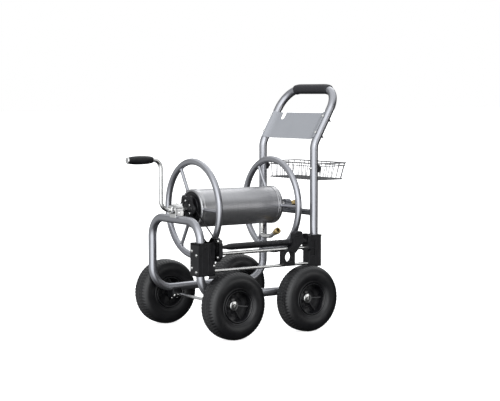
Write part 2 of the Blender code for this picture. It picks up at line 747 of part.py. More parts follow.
def make_bearings(coupling_axis):
    """The two reel bearings, the swivel inlet and its coupling nut."""
    bore = SHAFT_R + GAP
    crank_block = bearing_block("crank_bearing", MID_X - 0.259, 0.036, 0.0205,
                                HOOP_TOP_Z + 0.003, bore, "zinc")
    cut(crank_block, cope(TUBE_R, 0.2), (CRANK_END_X, 0, HOOP_TOP_Z), "Y")
    inlet_block = bearing_block("inlet_bearing", MID_X + 0.2565, 0.025, 0.0190,
                                CROSS_BAR_Z + 0.002, bore, "black_plastic")
    cut(inlet_block, cope(CROSS_BAR_R, 0.2), (HANDLE_END_X, 0, CROSS_BAR_Z), "Y")

    start = MID_X + 0.2702
    profile = [(0.0092, 0.0330), (0.0092, 0.0300), (0.0070, 0.0300), (0.0070, 0.0212),
               (0.0108, 0.0212), (0.0108, 0), (0.0079, 0), (0.0079, 0.0155),
               (0.0045, 0.0155), (0.0045, 0.0330)]
    turned("inlet_swivel", profile, "zinc", (start, 0, REEL_Z), "X", 16, True)
    nut = [(0.0128, 0.0500), (0.0138, 0.0480), (0.0138, 0.0240), (0.0120, 0.0216),
           (0.0074, 0.0216), (0.0074, 0.0290), (0.0098, 0.0290), (0.0098, 0.0500)]
    turned("inlet_coupling", nut, "brass", (start, 0, REEL_Z), "X", 18, True, coupling_axis)


# ---------------------------------------------------------------- level wind

def make_gear_case():
    """The moulded case on the near leg, and the cover over the lower sprocket."""
    low_x = MID_X - 0.285
    high_x = CASE_FACE_X
    low_z = 0.2365
    high_z = 0.3595
    near_y = -0.190
    far_y = -0.134
    case = place("gear_case", box((high_x - low_x, far_y - near_y, high_z - low_z)),
                 "black_plastic", ((low_x + high_x) / 2, (near_y + far_y) / 2,
                                   (low_z + high_z) / 2))
    soften(case, 0.002)
    cut(case, cope(TUBE_R, 0.3), (CRANK_END_X, -SIDE_Y, 0.3))
    cut(case, box((0.022, 0.006, 0.062)), (MID_X - 0.2275, near_y, 0.305))
    cut(case, rod(0.0045, 0.008, 12), (MID_X - 0.252, near_y, 0.342), "Y")
    blind_hole(case, AXLE_R, SCREW_Z, high_x, -0.0125)
    blind_hole(case, LOWER_ROD_R, LOWER_ROD_Z, high_x, -0.0125)

    depth = COVER_BACK_X - high_x - GAP
    half_y = 0.0390
    chamfer = 0.020
    low = 0.288
    high = 0.3765
    loop = [(half_y, low + chamfer), (half_y, high - chamfer), (half_y - chamfer, high),
            (chamfer - half_y, high), (-half_y, high - chamfer), (-half_y, low + chamfer),
            (chamfer - half_y, low), (half_y - chamfer, low)]
    loop = [(GUIDE_Y + y, z) for y, z in loop]
    cover = place("gear_cover", outline_mesh([loop], depth), "black_plastic",
                  (high_x + GAP + depth / 2, 0, 0), "YZ")
    soften(cover, 0.0012)
    cavity_r = sprocket_tip(SCREW_TEETH) + 0.0062
    cavity_depth = 0.0108
    floor_x = high_x + cavity_depth / 2
    cut(cover, rod(cavity_r, cavity_depth, 32), (floor_x, GUIDE_Y, SCREW_Z), "X")
    rise = Vector((0, -GUIDE_Y, REEL_Z - SCREW_Z)).normalized()
    slot_at = Vector((floor_x, GUIDE_Y, SCREW_Z)) + rise * 0.030
    slot_turn = (math.atan2(rise.z, rise.y), 0, 0)
    cut(cover, box((cavity_depth, 0.060, 2 * cavity_r - 0.0004)), slot_at, slot_turn)
    blind_hole(cover, AXLE_R, SCREW_Z, high_x, 0.020)
    blind_hole(cover, GUIDE_BAR_R, GUIDE_BAR_Z, COVER_BACK_X, COVER_SOCKET)


def blind_hole(part, radius, z, face_x, reach):
    """A hole along X for the screw's journal or the end of a rod; -X when reach is negative."""
    overshoot = math.copysign(0.004, reach)
    middle = face_x + (reach - overshoot) / 2
    hole = rod((radius + GAP) / math.cos(math.pi / 16), abs(reach + overshoot), 16)
    cut(part, hole, (middle, GUIDE_Y, z), "X")


def make_right_bracket():
    """The moulded bracket on the near upright, with the boss that the screw runs in."""
    low_x = MID_X + 0.225
    high_x = MID_X + 0.2826
    near_y = -0.192
    far_y = -0.150
    low_z = 0.239
    high_z = 0.360
    size = (high_x - low_x, far_y - near_y, high_z - low_z)
    middle = ((low_x + high_x) / 2, (near_y + far_y) / 2, (low_z + high_z) / 2)
    bracket = place("right_bracket", box(size), "black_plastic", middle)
    lip = box((size[0] + 0.003, size[1] + 0.003, 0.006))
    cut(bracket, lip, (middle[0], middle[1], high_z - 0.001), operation="UNION")
    boss_loop = [(GUIDE_Y + 0.020, 0.302), (GUIDE_Y + 0.020, 0.362), (GUIDE_Y + 0.012, 0.368),
                 (GUIDE_Y - 0.012, 0.368), (GUIDE_Y - 0.0205, 0.360), (GUIDE_Y - 0.0205, 0.310),
                 (GUIDE_Y - 0.012, 0.302)]
    depth = low_x - RIGHT_BOSS_X + 0.002
    cut(bracket, outline_mesh([boss_loop], depth), (RIGHT_BOSS_X + depth / 2, 0, 0), "YZ",
        "UNION")
    cut(bracket, cope(TUBE_R, 0.3), (HANDLE_END_X, -SIDE_Y, 0.3))
    window_x = MID_X + 0.2445
    cut(bracket, box((0.017, 0.007, 0.018)), (window_x, near_y, 0.319))
    cut(bracket, box((0.017, 0.007, 0.024)), (window_x, near_y, 0.294))
    blind_hole(bracket, AXLE_R, SCREW_Z, RIGHT_BOSS_X, 0.0130)
    blind_hole(bracket, GUIDE_BAR_R, GUIDE_BAR_Z, RIGHT_BOSS_X, 0.0130)
    blind_hole(bracket, LOWER_ROD_R, LOWER_ROD_Z, low_x, 0.0100)


def make_guides(screw):
    """The traverse screw, the guide bar under it and the rod below the hose."""
    journal_start = CASE_FACE_X - 0.0115
    journal_end = RIGHT_BOSS_X + 0.0125
    thread_start = MID_X - 0.131
    taper_start = MID_X - 0.159
    thread_end = RIGHT_BOSS_X - 0.0015
    length = journal_end - journal_start
    profile = [(0, length), (AXLE_R, length), (AXLE_R, thread_end - journal_start),
               (SCREW_R, thread_end - journal_start), (SCREW_R, thread_start - journal_start),
               (0.0072, taper_start - journal_start), (AXLE_R, taper_start - 0.012 - journal_start),
               (AXLE_R, 0), (0, 0)]
    turned("traverse_screw", profile, "black_plastic", (journal_start, GUIDE_Y, SCREW_Z), "X",
           20, parent=screw)
    start = COVER_BACK_X - COVER_SOCKET + GAP
    place("guide_bar", rod(GUIDE_BAR_R, journal_end - start, 16), "zinc",
          ((start + journal_end) / 2, GUIDE_Y, GUIDE_BAR_Z), "X")
    start = CASE_FACE_X - 0.0120
    end = MID_X + 0.2345
    place("lower_rod", rod(LOWER_ROD_R, end - start, 12), "zinc",
          ((start + end) / 2, GUIDE_Y, LOWER_ROD_Z), "X")


def make_carriage(carriage):
    """The hose guide: one thick plate on the screw, guide bar and rod, with a round eye."""
    near_y = -0.200
    far_y = -0.1715
    left = 0.0967
    right = 0.1513
    low = 0.2505
    corner_r = 0.009
    loop = arc((left + corner_r, low + corner_r), corner_r, 180, 270, 3)
    loop += arc((right - corner_r, low + corner_r), corner_r, 270, 360, 3)
    loop += [(right, 0.2960), (0.1682, 0.3120), (0.1743, 0.3223), (0.1914, 0.3391),
             (0.1914, 0.3450), (0.1890, 0.3642), (0.1851, 0.3773), (0.1717, 0.3811),
             (0.1580, 0.3780), (0.1500, 0.3715), (0.1444, 0.3445), (0.1339, 0.3255),
             (0.1168, 0.3127), (left, 0.3050)]
    loop = [(MID_X + x, z) for x, z in loop]
    eye = circle((EYE_X, EYE_Z), EYE_R, 24)
    body = place("carriage", outline_mesh([loop, eye], far_y - near_y), "black_plastic",
                 (0, (near_y + far_y) / 2, 0), "XZ", carriage)
    soften(body, 0.001)
    for radius, z in ((SCREW_R, SCREW_Z), (GUIDE_BAR_R, GUIDE_BAR_Z), (LOWER_ROD_R, LOWER_ROD_Z)):
        hole = rod((radius + GAP) / math.cos(math.pi / 20), 0.2, 20)
        cut(body, hole, (EYE_X, GUIDE_Y, z), "X")


def build():
    handle = make_frame()
    make_panel()
    make_basket(handle)
    for end in AXLE_X:
        make_axle(end)
        for side_name in SIDES:
            make_wheel(end, side_name)
    reel = pivot("reel_axis", (0, 0, REEL_Z))
    screw = pivot("screw_axis", (0, GUIDE_Y, SCREW_Z))
    grip_axis = pivot("crank_grip_axis", (CRANK_ARM_X, 0, REEL_Z + CRANK_THROW))
    make_drum(reel)
    make_shaft(reel)
    make_hub(reel)
    make_chain_drive(reel, screw)
    make_crank(reel, grip_axis)
    make_outlet(reel)
    make_bearings(pivot("coupling_axis", (MID_X + 0.29, 0, REEL_Z)))
    make_gear_case()
    make_right_bracket()
    make_guides(screw)
    carriage = pivot("carriage_slide", (MID_X + 0.128, GUIDE_Y, GUIDE_BAR_Z))
    make_carriage(carriage)


build()
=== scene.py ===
"""Looks of the garden hose reel cart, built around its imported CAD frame.

Metres, +Z up, in the CAD's own frame: crank at -X, push handle at +X, hose guide at -Y.
"""
import json
import math

import bmesh
import bpy
from mathutils import Matrix, Vector


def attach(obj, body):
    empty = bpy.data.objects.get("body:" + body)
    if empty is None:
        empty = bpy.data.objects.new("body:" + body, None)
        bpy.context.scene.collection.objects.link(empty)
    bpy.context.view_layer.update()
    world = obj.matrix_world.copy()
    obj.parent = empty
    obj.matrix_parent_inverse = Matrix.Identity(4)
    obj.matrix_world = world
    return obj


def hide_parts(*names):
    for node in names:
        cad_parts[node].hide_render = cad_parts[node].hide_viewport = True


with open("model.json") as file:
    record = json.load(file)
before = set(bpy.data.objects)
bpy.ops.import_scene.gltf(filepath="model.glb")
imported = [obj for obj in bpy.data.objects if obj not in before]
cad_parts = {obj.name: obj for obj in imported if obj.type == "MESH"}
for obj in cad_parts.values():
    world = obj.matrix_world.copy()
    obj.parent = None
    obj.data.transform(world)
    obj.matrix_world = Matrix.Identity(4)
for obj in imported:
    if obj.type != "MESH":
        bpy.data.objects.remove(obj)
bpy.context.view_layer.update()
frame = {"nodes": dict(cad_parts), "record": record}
BODY_OF = {node: body for body, nodes in frame["record"]["behaviour"]["bodies"].items()
           for node in nodes}

MID_X = 0.0185
TUBE_R = 0.0159
SIDE_Y = 0.169
CRANK_END_X = MID_X - 0.263
HANDLE_END_X = MID_X + 0.263
RAIL_Z = 0.153
RAIL_JOINT_X = MID_X - 0.045
HOOP_TOP_Z = 0.4347
RAKE = math.radians(30)
RAKE_START_Z = 0.711
HANDLE_TOP_Z = 0.925
HANDLE_TOP_X = HANDLE_END_X + (HANDLE_TOP_Z - RAKE_START_Z) * math.tan(RAKE)
HANDLE_CORNER_R = 0.090
CROSS_BAR_R = 0.0115
CROSS_BAR_Z = 0.446
WHEEL_R = 0.127
TRACK_Y = 0.2376
AXLE_R = 0.006
AXLE_X = {"crank": MID_X - 0.163, "handle": MID_X + 0.1785}
SIDES = {"near": -1, "far": 1}
SADDLE_HALF = 0.0195
HUB_INNER_Y = SIDE_Y + SADDLE_HALF + 0.0006
HUB_OUTER_Y = TRACK_Y - 0.002
REEL_Z = 0.4714
RING_R = 0.1785
RING_TUBE_R = 0.0123
RING_X = {"crank": MID_X - 0.184, "inlet": MID_X + 0.182}
SPOKE_R = 0.0065
SPOKE_ANGLES = (30, 150, 270)
DRUM_R = 0.0741
DRUM_END_X = {"crank": MID_X - 0.193, "inlet": MID_X + 0.188}
GRIP_Z = REEL_Z + 0.190
CRANK_TIP_X = MID_X - 0.474
CRANK_ROD_R = 0.0080
GUIDE_Y = -0.181
SCREW_Z = 0.339
SCREW_R = 0.0125
GUIDE_BAR_Z = 0.315
GUIDE_BAR_R = 0.0070
LOWER_ROD_Z = 0.2528
LOWER_ROD_R = 0.0058
EYE_X = MID_X + 0.124
EYE_Z = 0.2845
EYE_R = 0.0212
CHAIN_X = MID_X - 0.204
CASE_FACE_X = MID_X - 0.2115
COVER_BACK_X = CASE_FACE_X + 0.0146
RIGHT_BOSS_X = MID_X + 0.212
# turns an outline that is drawn as (Y, Z) points to face along X
SIDE_ON = Matrix.Rotation(math.pi / 2, 4, "Z") @ Matrix.Rotation(math.pi / 2, 4, "X")


# ---------------------------------------------------------------- materials

def surface(name, dark, light, roughness, metallic=0.0, mottle=25.0, stretch=(1, 1, 1),
            grain=0.0, grain_scale=900.0, **sockets):
    """A Principled surface: colour and roughness wander between two values, with a fine grain."""
    material = bpy.data.materials.new(name)
    material.use_nodes = True
    nodes = material.node_tree.nodes
    link = material.node_tree.links.new
    shader = nodes["Principled BSDF"]
    shader.inputs["Metallic"].default_value = metallic
    for socket, value in sockets.items():
        shader.inputs[socket.replace("_", " ")].default_value = value
    place = nodes.new("ShaderNodeTexCoord")
    mapping = nodes.new("ShaderNodeMapping")
    mapping.inputs["Scale"].default_value = stretch
    link(place.outputs["Object"], mapping.inputs["Vector"])
    cloud = nodes.new("ShaderNodeTexNoise")
    cloud.inputs["Scale"].default_value = mottle
    cloud.inputs["Detail"].default_value = 6.0
    link(mapping.outputs["Vector"], cloud.inputs["Vector"])
    spread = nodes.new("ShaderNodeMapRange")
    spread.inputs["From Min"].default_value = 0.3
    spread.inputs["From Max"].default_value = 0.7
    link(cloud.outputs["Fac"], spread.inputs["Value"])
    tone = nodes.new("ShaderNodeMix")
    tone.data_type = "RGBA"
    tone.inputs["A"].default_value = (*dark, 1)
    tone.inputs["B"].default_value = (*light, 1)
    link(spread.outputs["Result"], tone.inputs["Factor"])
    link(tone.outputs["Result"], shader.inputs["Base Color"])
    smudge = nodes.new("ShaderNodeTexNoise")
    smudge.inputs["Scale"].default_value = mottle * 2.7
    smudge.inputs["Detail"].default_value = 4.0
    link(mapping.outputs["Vector"], smudge.inputs["Vector"])
    rough = nodes.new("ShaderNodeMapRange")
    rough.inputs["From Min"].default_value = 0.25
    rough.inputs["From Max"].default_value = 0.75
    rough.inputs["To Min"].default_value = roughness[0]
    rough.inputs["To Max"].default_value = roughness[1]
    link(smudge.outputs["Fac"], rough.inputs["Value"])
    link(rough.outputs["Result"], shader.inputs["Roughness"])
    if grain:
        fine = nodes.new("ShaderNodeTexNoise")
        fine.inputs["Scale"].default_value = grain_scale
        fine.inputs["Detail"].default_value = 3.0
        link(mapping.outputs["Vector"], fine.inputs["Vector"])
        bump = nodes.new("ShaderNodeBump")
        bump.inputs["Strength"].default_value = grain
        bump.inputs["Distance"].default_value = 0.0004
        link(fine.outputs["Fac"], bump.inputs["Height"])
        link(bump.outputs["Normal"], shader.inputs["Normal"])
    return material


FRAME_STEEL = surface("frame_paint", (0.35, 0.355, 0.38), (0.38, 0.385, 0.41), (0.27, 0.31),
                      metallic=0.9, mottle=9, grain=0.015, grain_scale=900, Coat_Weight=0.15,
                      Coat_Roughness=0.25)
DRUM_STEEL = surface("drum_brushed_steel", (0.37, 0.37, 0.385), (0.43, 0.43, 0.44),
                     (0.34, 0.44), metallic=0.9, mottle=60, stretch=(9, 0.35, 0.35), grain=0.16,
                     grain_scale=160)
DRUM_END_STEEL = surface("drum_end_steel", (0.40, 0.40, 0.41), (0.46, 0.46, 0.47), (0.26, 0.34),
                         metallic=0.92, mottle=30, grain=0.05)
PANEL_STEEL = surface("panel_paint", (0.33, 0.34, 0.365), (0.35, 0.36, 0.385), (0.46, 0.52),
                      metallic=0.2, mottle=9, grain=0.05, grain_scale=1200)
ZINC = surface("bright_zinc", (0.66, 0.66, 0.65), (0.78, 0.78, 0.77), (0.14, 0.24), metallic=1.0,
               mottle=55, grain=0.03)
BRASS = surface("turned_brass", (0.50, 0.36, 0.15), (0.70, 0.54, 0.27), (0.20, 0.34), metallic=1.0,
                mottle=90, grain=0.05)
PLASTIC = surface("moulded_black", (0.005, 0.005, 0.006), (0.010, 0.010, 0.012), (0.32, 0.44),
                  mottle=40, grain=0.16, grain_scale=1600, Specular_IOR_Level=0.35)
CROSS_BAR_STEEL = surface("cross_bar_enamel", (0.16, 0.165, 0.18), (0.19, 0.195, 0.21),
                          (0.26, 0.32), metallic=0.85, mottle=30, grain=0.02)
FOAM = surface("grip_foam", (0.010, 0.010, 0.013), (0.020, 0.020, 0.025), (0.48, 0.62), mottle=240,
               grain=0.5, grain_scale=1500)
RUBBER = surface("tyre_rubber", (0.005, 0.005, 0.006), (0.011, 0.011, 0.012), (0.28, 0.40),
                 mottle=34, grain=0.12, grain_scale=1100, Specular_IOR_Level=0.5)
RIM_PLASTIC = surface("rim_plastic", (0.005, 0.005, 0.006), (0.010, 0.010, 0.012), (0.17, 0.25),
                      mottle=50, grain=0.05, grain_scale=1300, Specular_IOR_Level=0.65)
WIRE = surface("basket_wire", (0.11, 0.11, 0.115), (0.16, 0.16, 0.165), (0.34, 0.42),
               metallic=0.5, mottle=80)
CHAIN_STEEL = surface("chain_steel", (0.016, 0.016, 0.018), (0.04, 0.04, 0.044), (0.28, 0.45),
                      metallic=0.7, mottle=160)


# ---------------------------------------------------------------- geometry helpers

def aim(at, axis):
    """The matrix that stands a piece on a point with its +Z along a direction."""
    return Matrix.Translation(at) @ Vector(axis).to_track_quat("Z", "Y").to_matrix().to_4x4()


def to_object(name, bm, material, matrix=None, sharp=35.0, bevel=0.0, segments=2):
    """The finished piece of a bmesh, smooth but for its sharp edges, with softened corners."""
    bmesh.ops.recalc_face_normals(bm, faces=bm.faces)
    mesh = bpy.data.meshes.new(name)
    bm.to_mesh(mesh)
    bm.free()
    if matrix:
        mesh.transform(matrix)
    mesh.materials.append(material)
    mesh.shade_smooth()
    mesh.set_sharp_from_angle(angle=math.radians(sharp))
    piece = bpy.data.objects.new(name, mesh)
    bpy.context.scene.collection.objects.link(piece)
    if bevel:
        soften = piece.modifiers.new("edges", "BEVEL")
        soften.width = bevel
        soften.segments = segments
        soften.limit_method = "ANGLE"
        soften.angle_limit = math.radians(32)
        soften.harden_normals = True
    return piece


def show(piece, node=None, body=None):
    """Ride a piece on its body, in place of its CAD node if it has one."""
    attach(piece, body or BODY_OF[node])
    if node:
        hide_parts(node)
    return piece


def repaint(node, material):
    """A CAD node that stays as it is, in a better material."""
    for slot in frame["nodes"][node].material_slots:
        slot.material = material


def lathe(bm, profile, steps, matrix=None, closed=True):
    """Turn (radius, height) points round Z; a radius of 0 closes the end on the axis."""
    rings = []
    for radius, height in profile:
        count = steps if radius > 1e-7 else 1
        ring = [bm.verts.new((radius * math.cos(math.tau * k / steps),
                              radius * math.sin(math.tau * k / steps), height))
                for k in range(count)]
        rings.append(ring)
    pairs = list(zip(rings, rings[1:]))
    if closed:
        pairs.append((rings[-1], rings[0]))
    for first, second in pairs:
        for k in range(steps):
            n = (k + 1) % steps
            corners = [first[k % len(first)], first[n % len(first)], second[n % len(second)],
                       second[k % len(second)]]
            unique = list(dict.fromkeys(corners))
            if len(unique) > 2:
                bm.faces.new(unique)
    new = [vert for ring in rings for vert in ring]
    if matrix:
        bmesh.ops.transform(bm, matrix=matrix, verts=new)
    return new


def turned(name, profile, material, at, axis, steps=64, closed=True, bevel=0.0006, **more):
    """A turned piece: its profile runs round an axis through a point."""
    bm = bmesh.new()
    lathe(bm, profile, steps, closed=closed)
    return to_object(name, bm, material, aim(at, axis), bevel=bevel, **more)


def block(bm, size, matrix):
    """A box of a size, placed by a matrix."""
    made = bmesh.ops.create_cube(bm, size=1.0, matrix=matrix @ Matrix.Diagonal((*size, 1)))
    return made["verts"]


def rod(bm, radius, start, end, sides=20, end_radius=None):
    """A capped round bar between two points."""
    start, end = Vector(start), Vector(end)
    middle = aim((start + end) / 2, end - start)
    bmesh.ops.create_cone(bm, cap_ends=True, segments=sides, radius1=radius,
                          radius2=radius if end_radius is None else end_radius,
                          depth=(end - start).length, matrix=middle)


def prism(bm, loop, depth, matrix):
    """A flat outline made thick, centred on its own plane."""
    low = [bm.verts.new((x, y, -depth / 2)) for x, y in loop]
    high = [bm.verts.new((x, y, depth / 2)) for x, y in loop]
    bm.faces.new(low)
    bm.faces.new(high)
    count = len(loop)
    for k in range(count):
        n = (k + 1) % count
        bm.faces.new((low[k], low[n], high[n], high[k]))
    bmesh.ops.transform(bm, matrix=matrix, verts=low + high)


def arc(centre, radius, start, end, steps):
    """2D points on an arc, in degrees."""
    turns = [math.radians(start + (end - start) * k / steps) for k in range(steps + 1)]
    return [(centre[0] + radius * math.cos(t), centre[1] + radius * math.sin(t)) for t in turns]


def plate(bm, loops, depth, matrix):
    """A flat plate whose first outline is its edge and whose other outlines are holes."""
    edges = []
    for loop in loops:
        verts = [bm.verts.new((x, y, -depth / 2)) for x, y in loop]
        edges += [bm.edges.new((a, b)) for a, b in zip(verts, verts[1:] + verts[:1])]
    filled = bmesh.ops.triangle_fill(bm, edges=edges, use_beauty=True)["geom"]
    low = [face for face in filled if isinstance(face, bmesh.types.BMFace)]
    raised = bmesh.ops.extrude_face_region(bm, geom=low, use_keep_orig=True)["geom"]
    high = [vert for vert in raised if isinstance(vert, bmesh.types.BMVert)]
    bmesh.ops.translate(bm, vec=(0, 0, depth), verts=high)
    every = {vert for face in low for vert in face.verts} | set(high)
    bmesh.ops.transform(bm, matrix=matrix, verts=list(every))


def arc_path(corners, radii, steps_per_turn=96):
    """Points along straight runs joined by arcs, with one radius for each inner corner."""
    points = [Vector(corners[0])]
    for before, corner, after, radius in zip(corners, corners[1:], corners[2:], radii):
        corner = Vector(corner)
        back = (Vector(before) - corner).normalized()
        ahead = (Vector(after) - corner).normalized()
        half = back.angle(ahead) / 2
        centre = corner + (back + ahead).normalized() * radius / math.sin(half)
        arm = corner + back * radius / math.tan(half) - centre
        turn_axis = arm.cross(-back)
        sweep = math.pi - 2 * half
        steps = max(3, round(steps_per_turn * sweep / math.tau))
        for step in range(steps + 1):
            points.append(centre + Matrix.Rotation(sweep * step / steps, 3, turn_axis) @ arm)
    points.append(Vector(corners[-1]))
    return points


def tube(name, points, radius, material, cyclic=False, resolution=8, closed_ends=True):
    """A round tube or wire along points; several runs may share one piece."""
    runs = points if isinstance(points[0], (list, tuple)) else [points]
    curve = bpy.data.curves.new(name, "CURVE")
    curve.dimensions = "3D"
    curve.bevel_depth = radius
    curve.bevel_resolution = resolution
    curve.use_fill_caps = closed_ends and not cyclic
    for run in runs:
        spline = curve.splines.new("POLY")
        spline.points.add(len(run) - 1)
        for point, position in zip(spline.points, run):
            point.co = (*position, 1)
        spline.use_cyclic_u = cyclic
        spline.use_smooth = True
    curve.materials.append(material)
    piece = bpy.data.objects.new(name, curve)
    bpy.context.scene.collection.objects.link(piece)
    return piece


def ring_points(centre, radius, count):
    """Points of a ring that faces along X."""
    turns = [math.tau * k / count for k in range(count)]
    return [Vector(centre) + Vector((0, radius * math.cos(t), radius * math.sin(t)))
            for t in turns]


def hex_head(bm, at, axis, radius=0.0048, height=0.0032, washer=True):
    """A hex bolt head on a washer, standing on a surface."""
    base = aim(at, axis)
    if washer:
        lathe(bm, [(0, 0.0008), (radius * 1.25, 0.0008), (radius * 1.3, 0), (0, 0)], 24, base,
              closed=False)
    low = 0.0008 if washer else 0.0
    lathe(bm, [(0, low + height), (radius * 0.8, low + height), (radius, low + height * 0.75),
               (radius, low), (0, low)], 6, base, closed=False)


# ---------------------------------------------------------------- frame

def slant_point(along, out, y):
    """A point on the raked tubes: along them, out to their front and across."""
    return Vector((HANDLE_END_X + along * math.sin(RAKE) - out * math.cos(RAKE), y,
                   RAKE_START_Z + along * math.cos(RAKE) + out * math.sin(RAKE)))


def make_frame():
    """The two bent tubes, the plugs in their joints and the cross bar with its welds."""
    overlap = 0.002
    hoop = arc_path(
        [(RAIL_JOINT_X, -SIDE_Y, RAIL_Z), (CRANK_END_X, -SIDE_Y, RAIL_Z),
         (CRANK_END_X, -SIDE_Y, HOOP_TOP_Z), (CRANK_END_X, SIDE_Y, HOOP_TOP_Z),
         (CRANK_END_X, SIDE_Y, RAIL_Z), (RAIL_JOINT_X, SIDE_Y, RAIL_Z)],
        [0.085, 0.077, 0.077, 0.085])
    show(tube("hoop_tube_skin", hoop, TUBE_R, FRAME_STEEL), "hoop_tube")
    start = RAIL_JOINT_X + 0.0004
    handle = arc_path(
        [(start, -SIDE_Y, RAIL_Z), (HANDLE_END_X, -SIDE_Y, RAIL_Z),
         (HANDLE_END_X, -SIDE_Y, RAKE_START_Z), (HANDLE_TOP_X, -SIDE_Y, HANDLE_TOP_Z),
         (HANDLE_TOP_X, SIDE_Y, HANDLE_TOP_Z), (HANDLE_END_X, SIDE_Y, RAKE_START_Z),
         (HANDLE_END_X, SIDE_Y, RAIL_Z), (start, SIDE_Y, RAIL_Z)],
        [0.085, 0.070, HANDLE_CORNER_R, HANDLE_CORNER_R, 0.070, 0.085])
    show(tube("handle_tube_skin", handle, TUBE_R, FRAME_STEEL), "handle_tube")
    joints = [[Vector((RAIL_JOINT_X - 0.02, side * SIDE_Y, RAIL_Z)),
               Vector((RAIL_JOINT_X + 0.02, side * SIDE_Y, RAIL_Z))] for side in SIDES.values()]
    show(tube("rail_spigots", joints, 0.0138, FRAME_STEEL), body="frame")
    half = SIDE_Y - TUBE_R + overlap
    show(tube("cross_bar_skin", [Vector((HANDLE_END_X, -half, CROSS_BAR_Z)),
                                 Vector((HANDLE_END_X, half, CROSS_BAR_Z))],
              CROSS_BAR_R, CROSS_BAR_STEEL), "cross_bar")
    bm = bmesh.new()
    for side in SIDES.values():
        ring = aim((HANDLE_END_X, side * (SIDE_Y - TUBE_R + 0.001), CROSS_BAR_Z), (0, -side, 0))
        lathe(bm, [(CROSS_BAR_R, 0.004), (CROSS_BAR_R + 0.0022, 0.0012), (CROSS_BAR_R + 0.003, 0),
                   (CROSS_BAR_R, 0)], 40, ring)
    show(to_object("cross_bar_welds", bm, CROSS_BAR_STEEL), body="frame")
    show(make_grip(handle), "handle_grip")


def make_grip(handle):
    """The foam sleeve, which follows the top of the handle into both of its bends."""
    half, radius, lip = 0.1078, 0.0197, 0.0020
    top = [point for point in handle if point.z > RAKE_START_Z and abs(point.y) < half]
    path = list(top)
    for order in (1, -1):
        inner = top[::order][0]
        outer = min((point for point in handle if point.z > RAKE_START_Z
                     and abs(point.y) >= half and point.y * inner.y > 0),
                    key=lambda point: abs(point.y))
        way = (outer - inner).normalized()
        share = (half - abs(inner.y)) / (abs(outer.y) - abs(inner.y))
        end = inner.lerp(outer, share)
        tip = [end, end - way * lip] if order > 0 else [end - way * lip, end]
        path = tip + path if order > 0 else path + tip
    grip = tube("handle_grip_skin", path, radius, FOAM, resolution=12)
    points = grip.data.splines[0].points
    points[0].radius = points[-1].radius = 0.90
    return grip


def make_panel():
    """The plate across the raked tubes, curled over their fronts, with a notch on top."""
    thickness, low, high = 0.002, 0.0192, 0.1352
    notch_y, notch_r, notch_depth, corner_r = 0.102, 0.0115, 0.032, 0.010
    wrap_r = TUBE_R + 0.0003 + thickness / 2
    bend_r = 0.0564
    lean, past = math.radians(32), math.radians(10)
    flat_y = SIDE_Y - (wrap_r + bend_r) * math.sin(lean)
    flat_out = (wrap_r + bend_r) * math.cos(lean) - bend_r
    wrap_start = flat_y + bend_r * lean
    half_width = wrap_start + wrap_r * (lean + past)

    loop = arc((half_width - corner_r, high - corner_r), corner_r, 0, 90, 8)
    loop += [(notch_y + notch_r, high)]
    loop += arc((notch_y, high - notch_depth + notch_r), notch_r, 0, -180, 20)
    loop += [(notch_y - notch_r, high)]
    loop += arc((corner_r - half_width, high - corner_r), corner_r, 90, 180, 8)
    loop += arc((corner_r - half_width, low + corner_r), corner_r, 180, 270, 8)
    loop += arc((half_width - corner_r, low + corner_r), corner_r, 270, 360, 8)
    bm = bmesh.new()
    prism(bm, loop, thickness, Matrix.Identity(4))
    folds = [flat_y + bend_r * lean * k / 10 for k in range(11)]
    folds += [wrap_start + wrap_r * (lean + past) * k / 14 for k in range(1, 14)]
    for fold in folds:
        for side in SIDES.values():
            bmesh.ops.bisect_plane(bm, geom=bm.verts[:] + bm.edges[:] + bm.faces[:],
                                   dist=0.00001, plane_co=(side * fold, 0, 0),
                                   plane_no=(1, 0, 0))
    for vert in bm.verts:
        across, along, height = vert.co
        reach = abs(across)
        if reach <= flat_y:
            y, out = reach, flat_out + height
        elif reach <= wrap_start:
            turn = (reach - flat_y) / bend_r
            y = flat_y + (bend_r - height) * math.sin(turn)
            out = flat_out + bend_r - (bend_r - height) * math.cos(turn)
        else:
            turn = lean - (reach - wrap_start) / wrap_r
            y = SIDE_Y - (wrap_r + height) * math.sin(turn)
            out = (wrap_r + height) * math.cos(turn)
        vert.co = slant_point(along, out, math.copysign(y, across))
    show(to_object("panel_plate_skin", bm, PANEL_STEEL, bevel=0.0004), "panel_plate")
    bm = bmesh.new()
    front = Vector((-math.cos(RAKE), 0, math.sin(RAKE)))
    for along in (0.0442, 0.1165):
        for side in SIDES.values():
            hex_head(bm, slant_point(along, wrap_r + thickness / 2, side * SIDE_Y), front, 0.0048)
            back = slant_point(along, -TUBE_R - 0.0002, side * SIDE_Y)
            hex_head(bm, back, -front, 0.0050, 0.0045)
            rod(bm, 0.003, back, back - front * 0.010, 12)
    show(to_object("panel_bolts", bm, ZINC), body="frame")


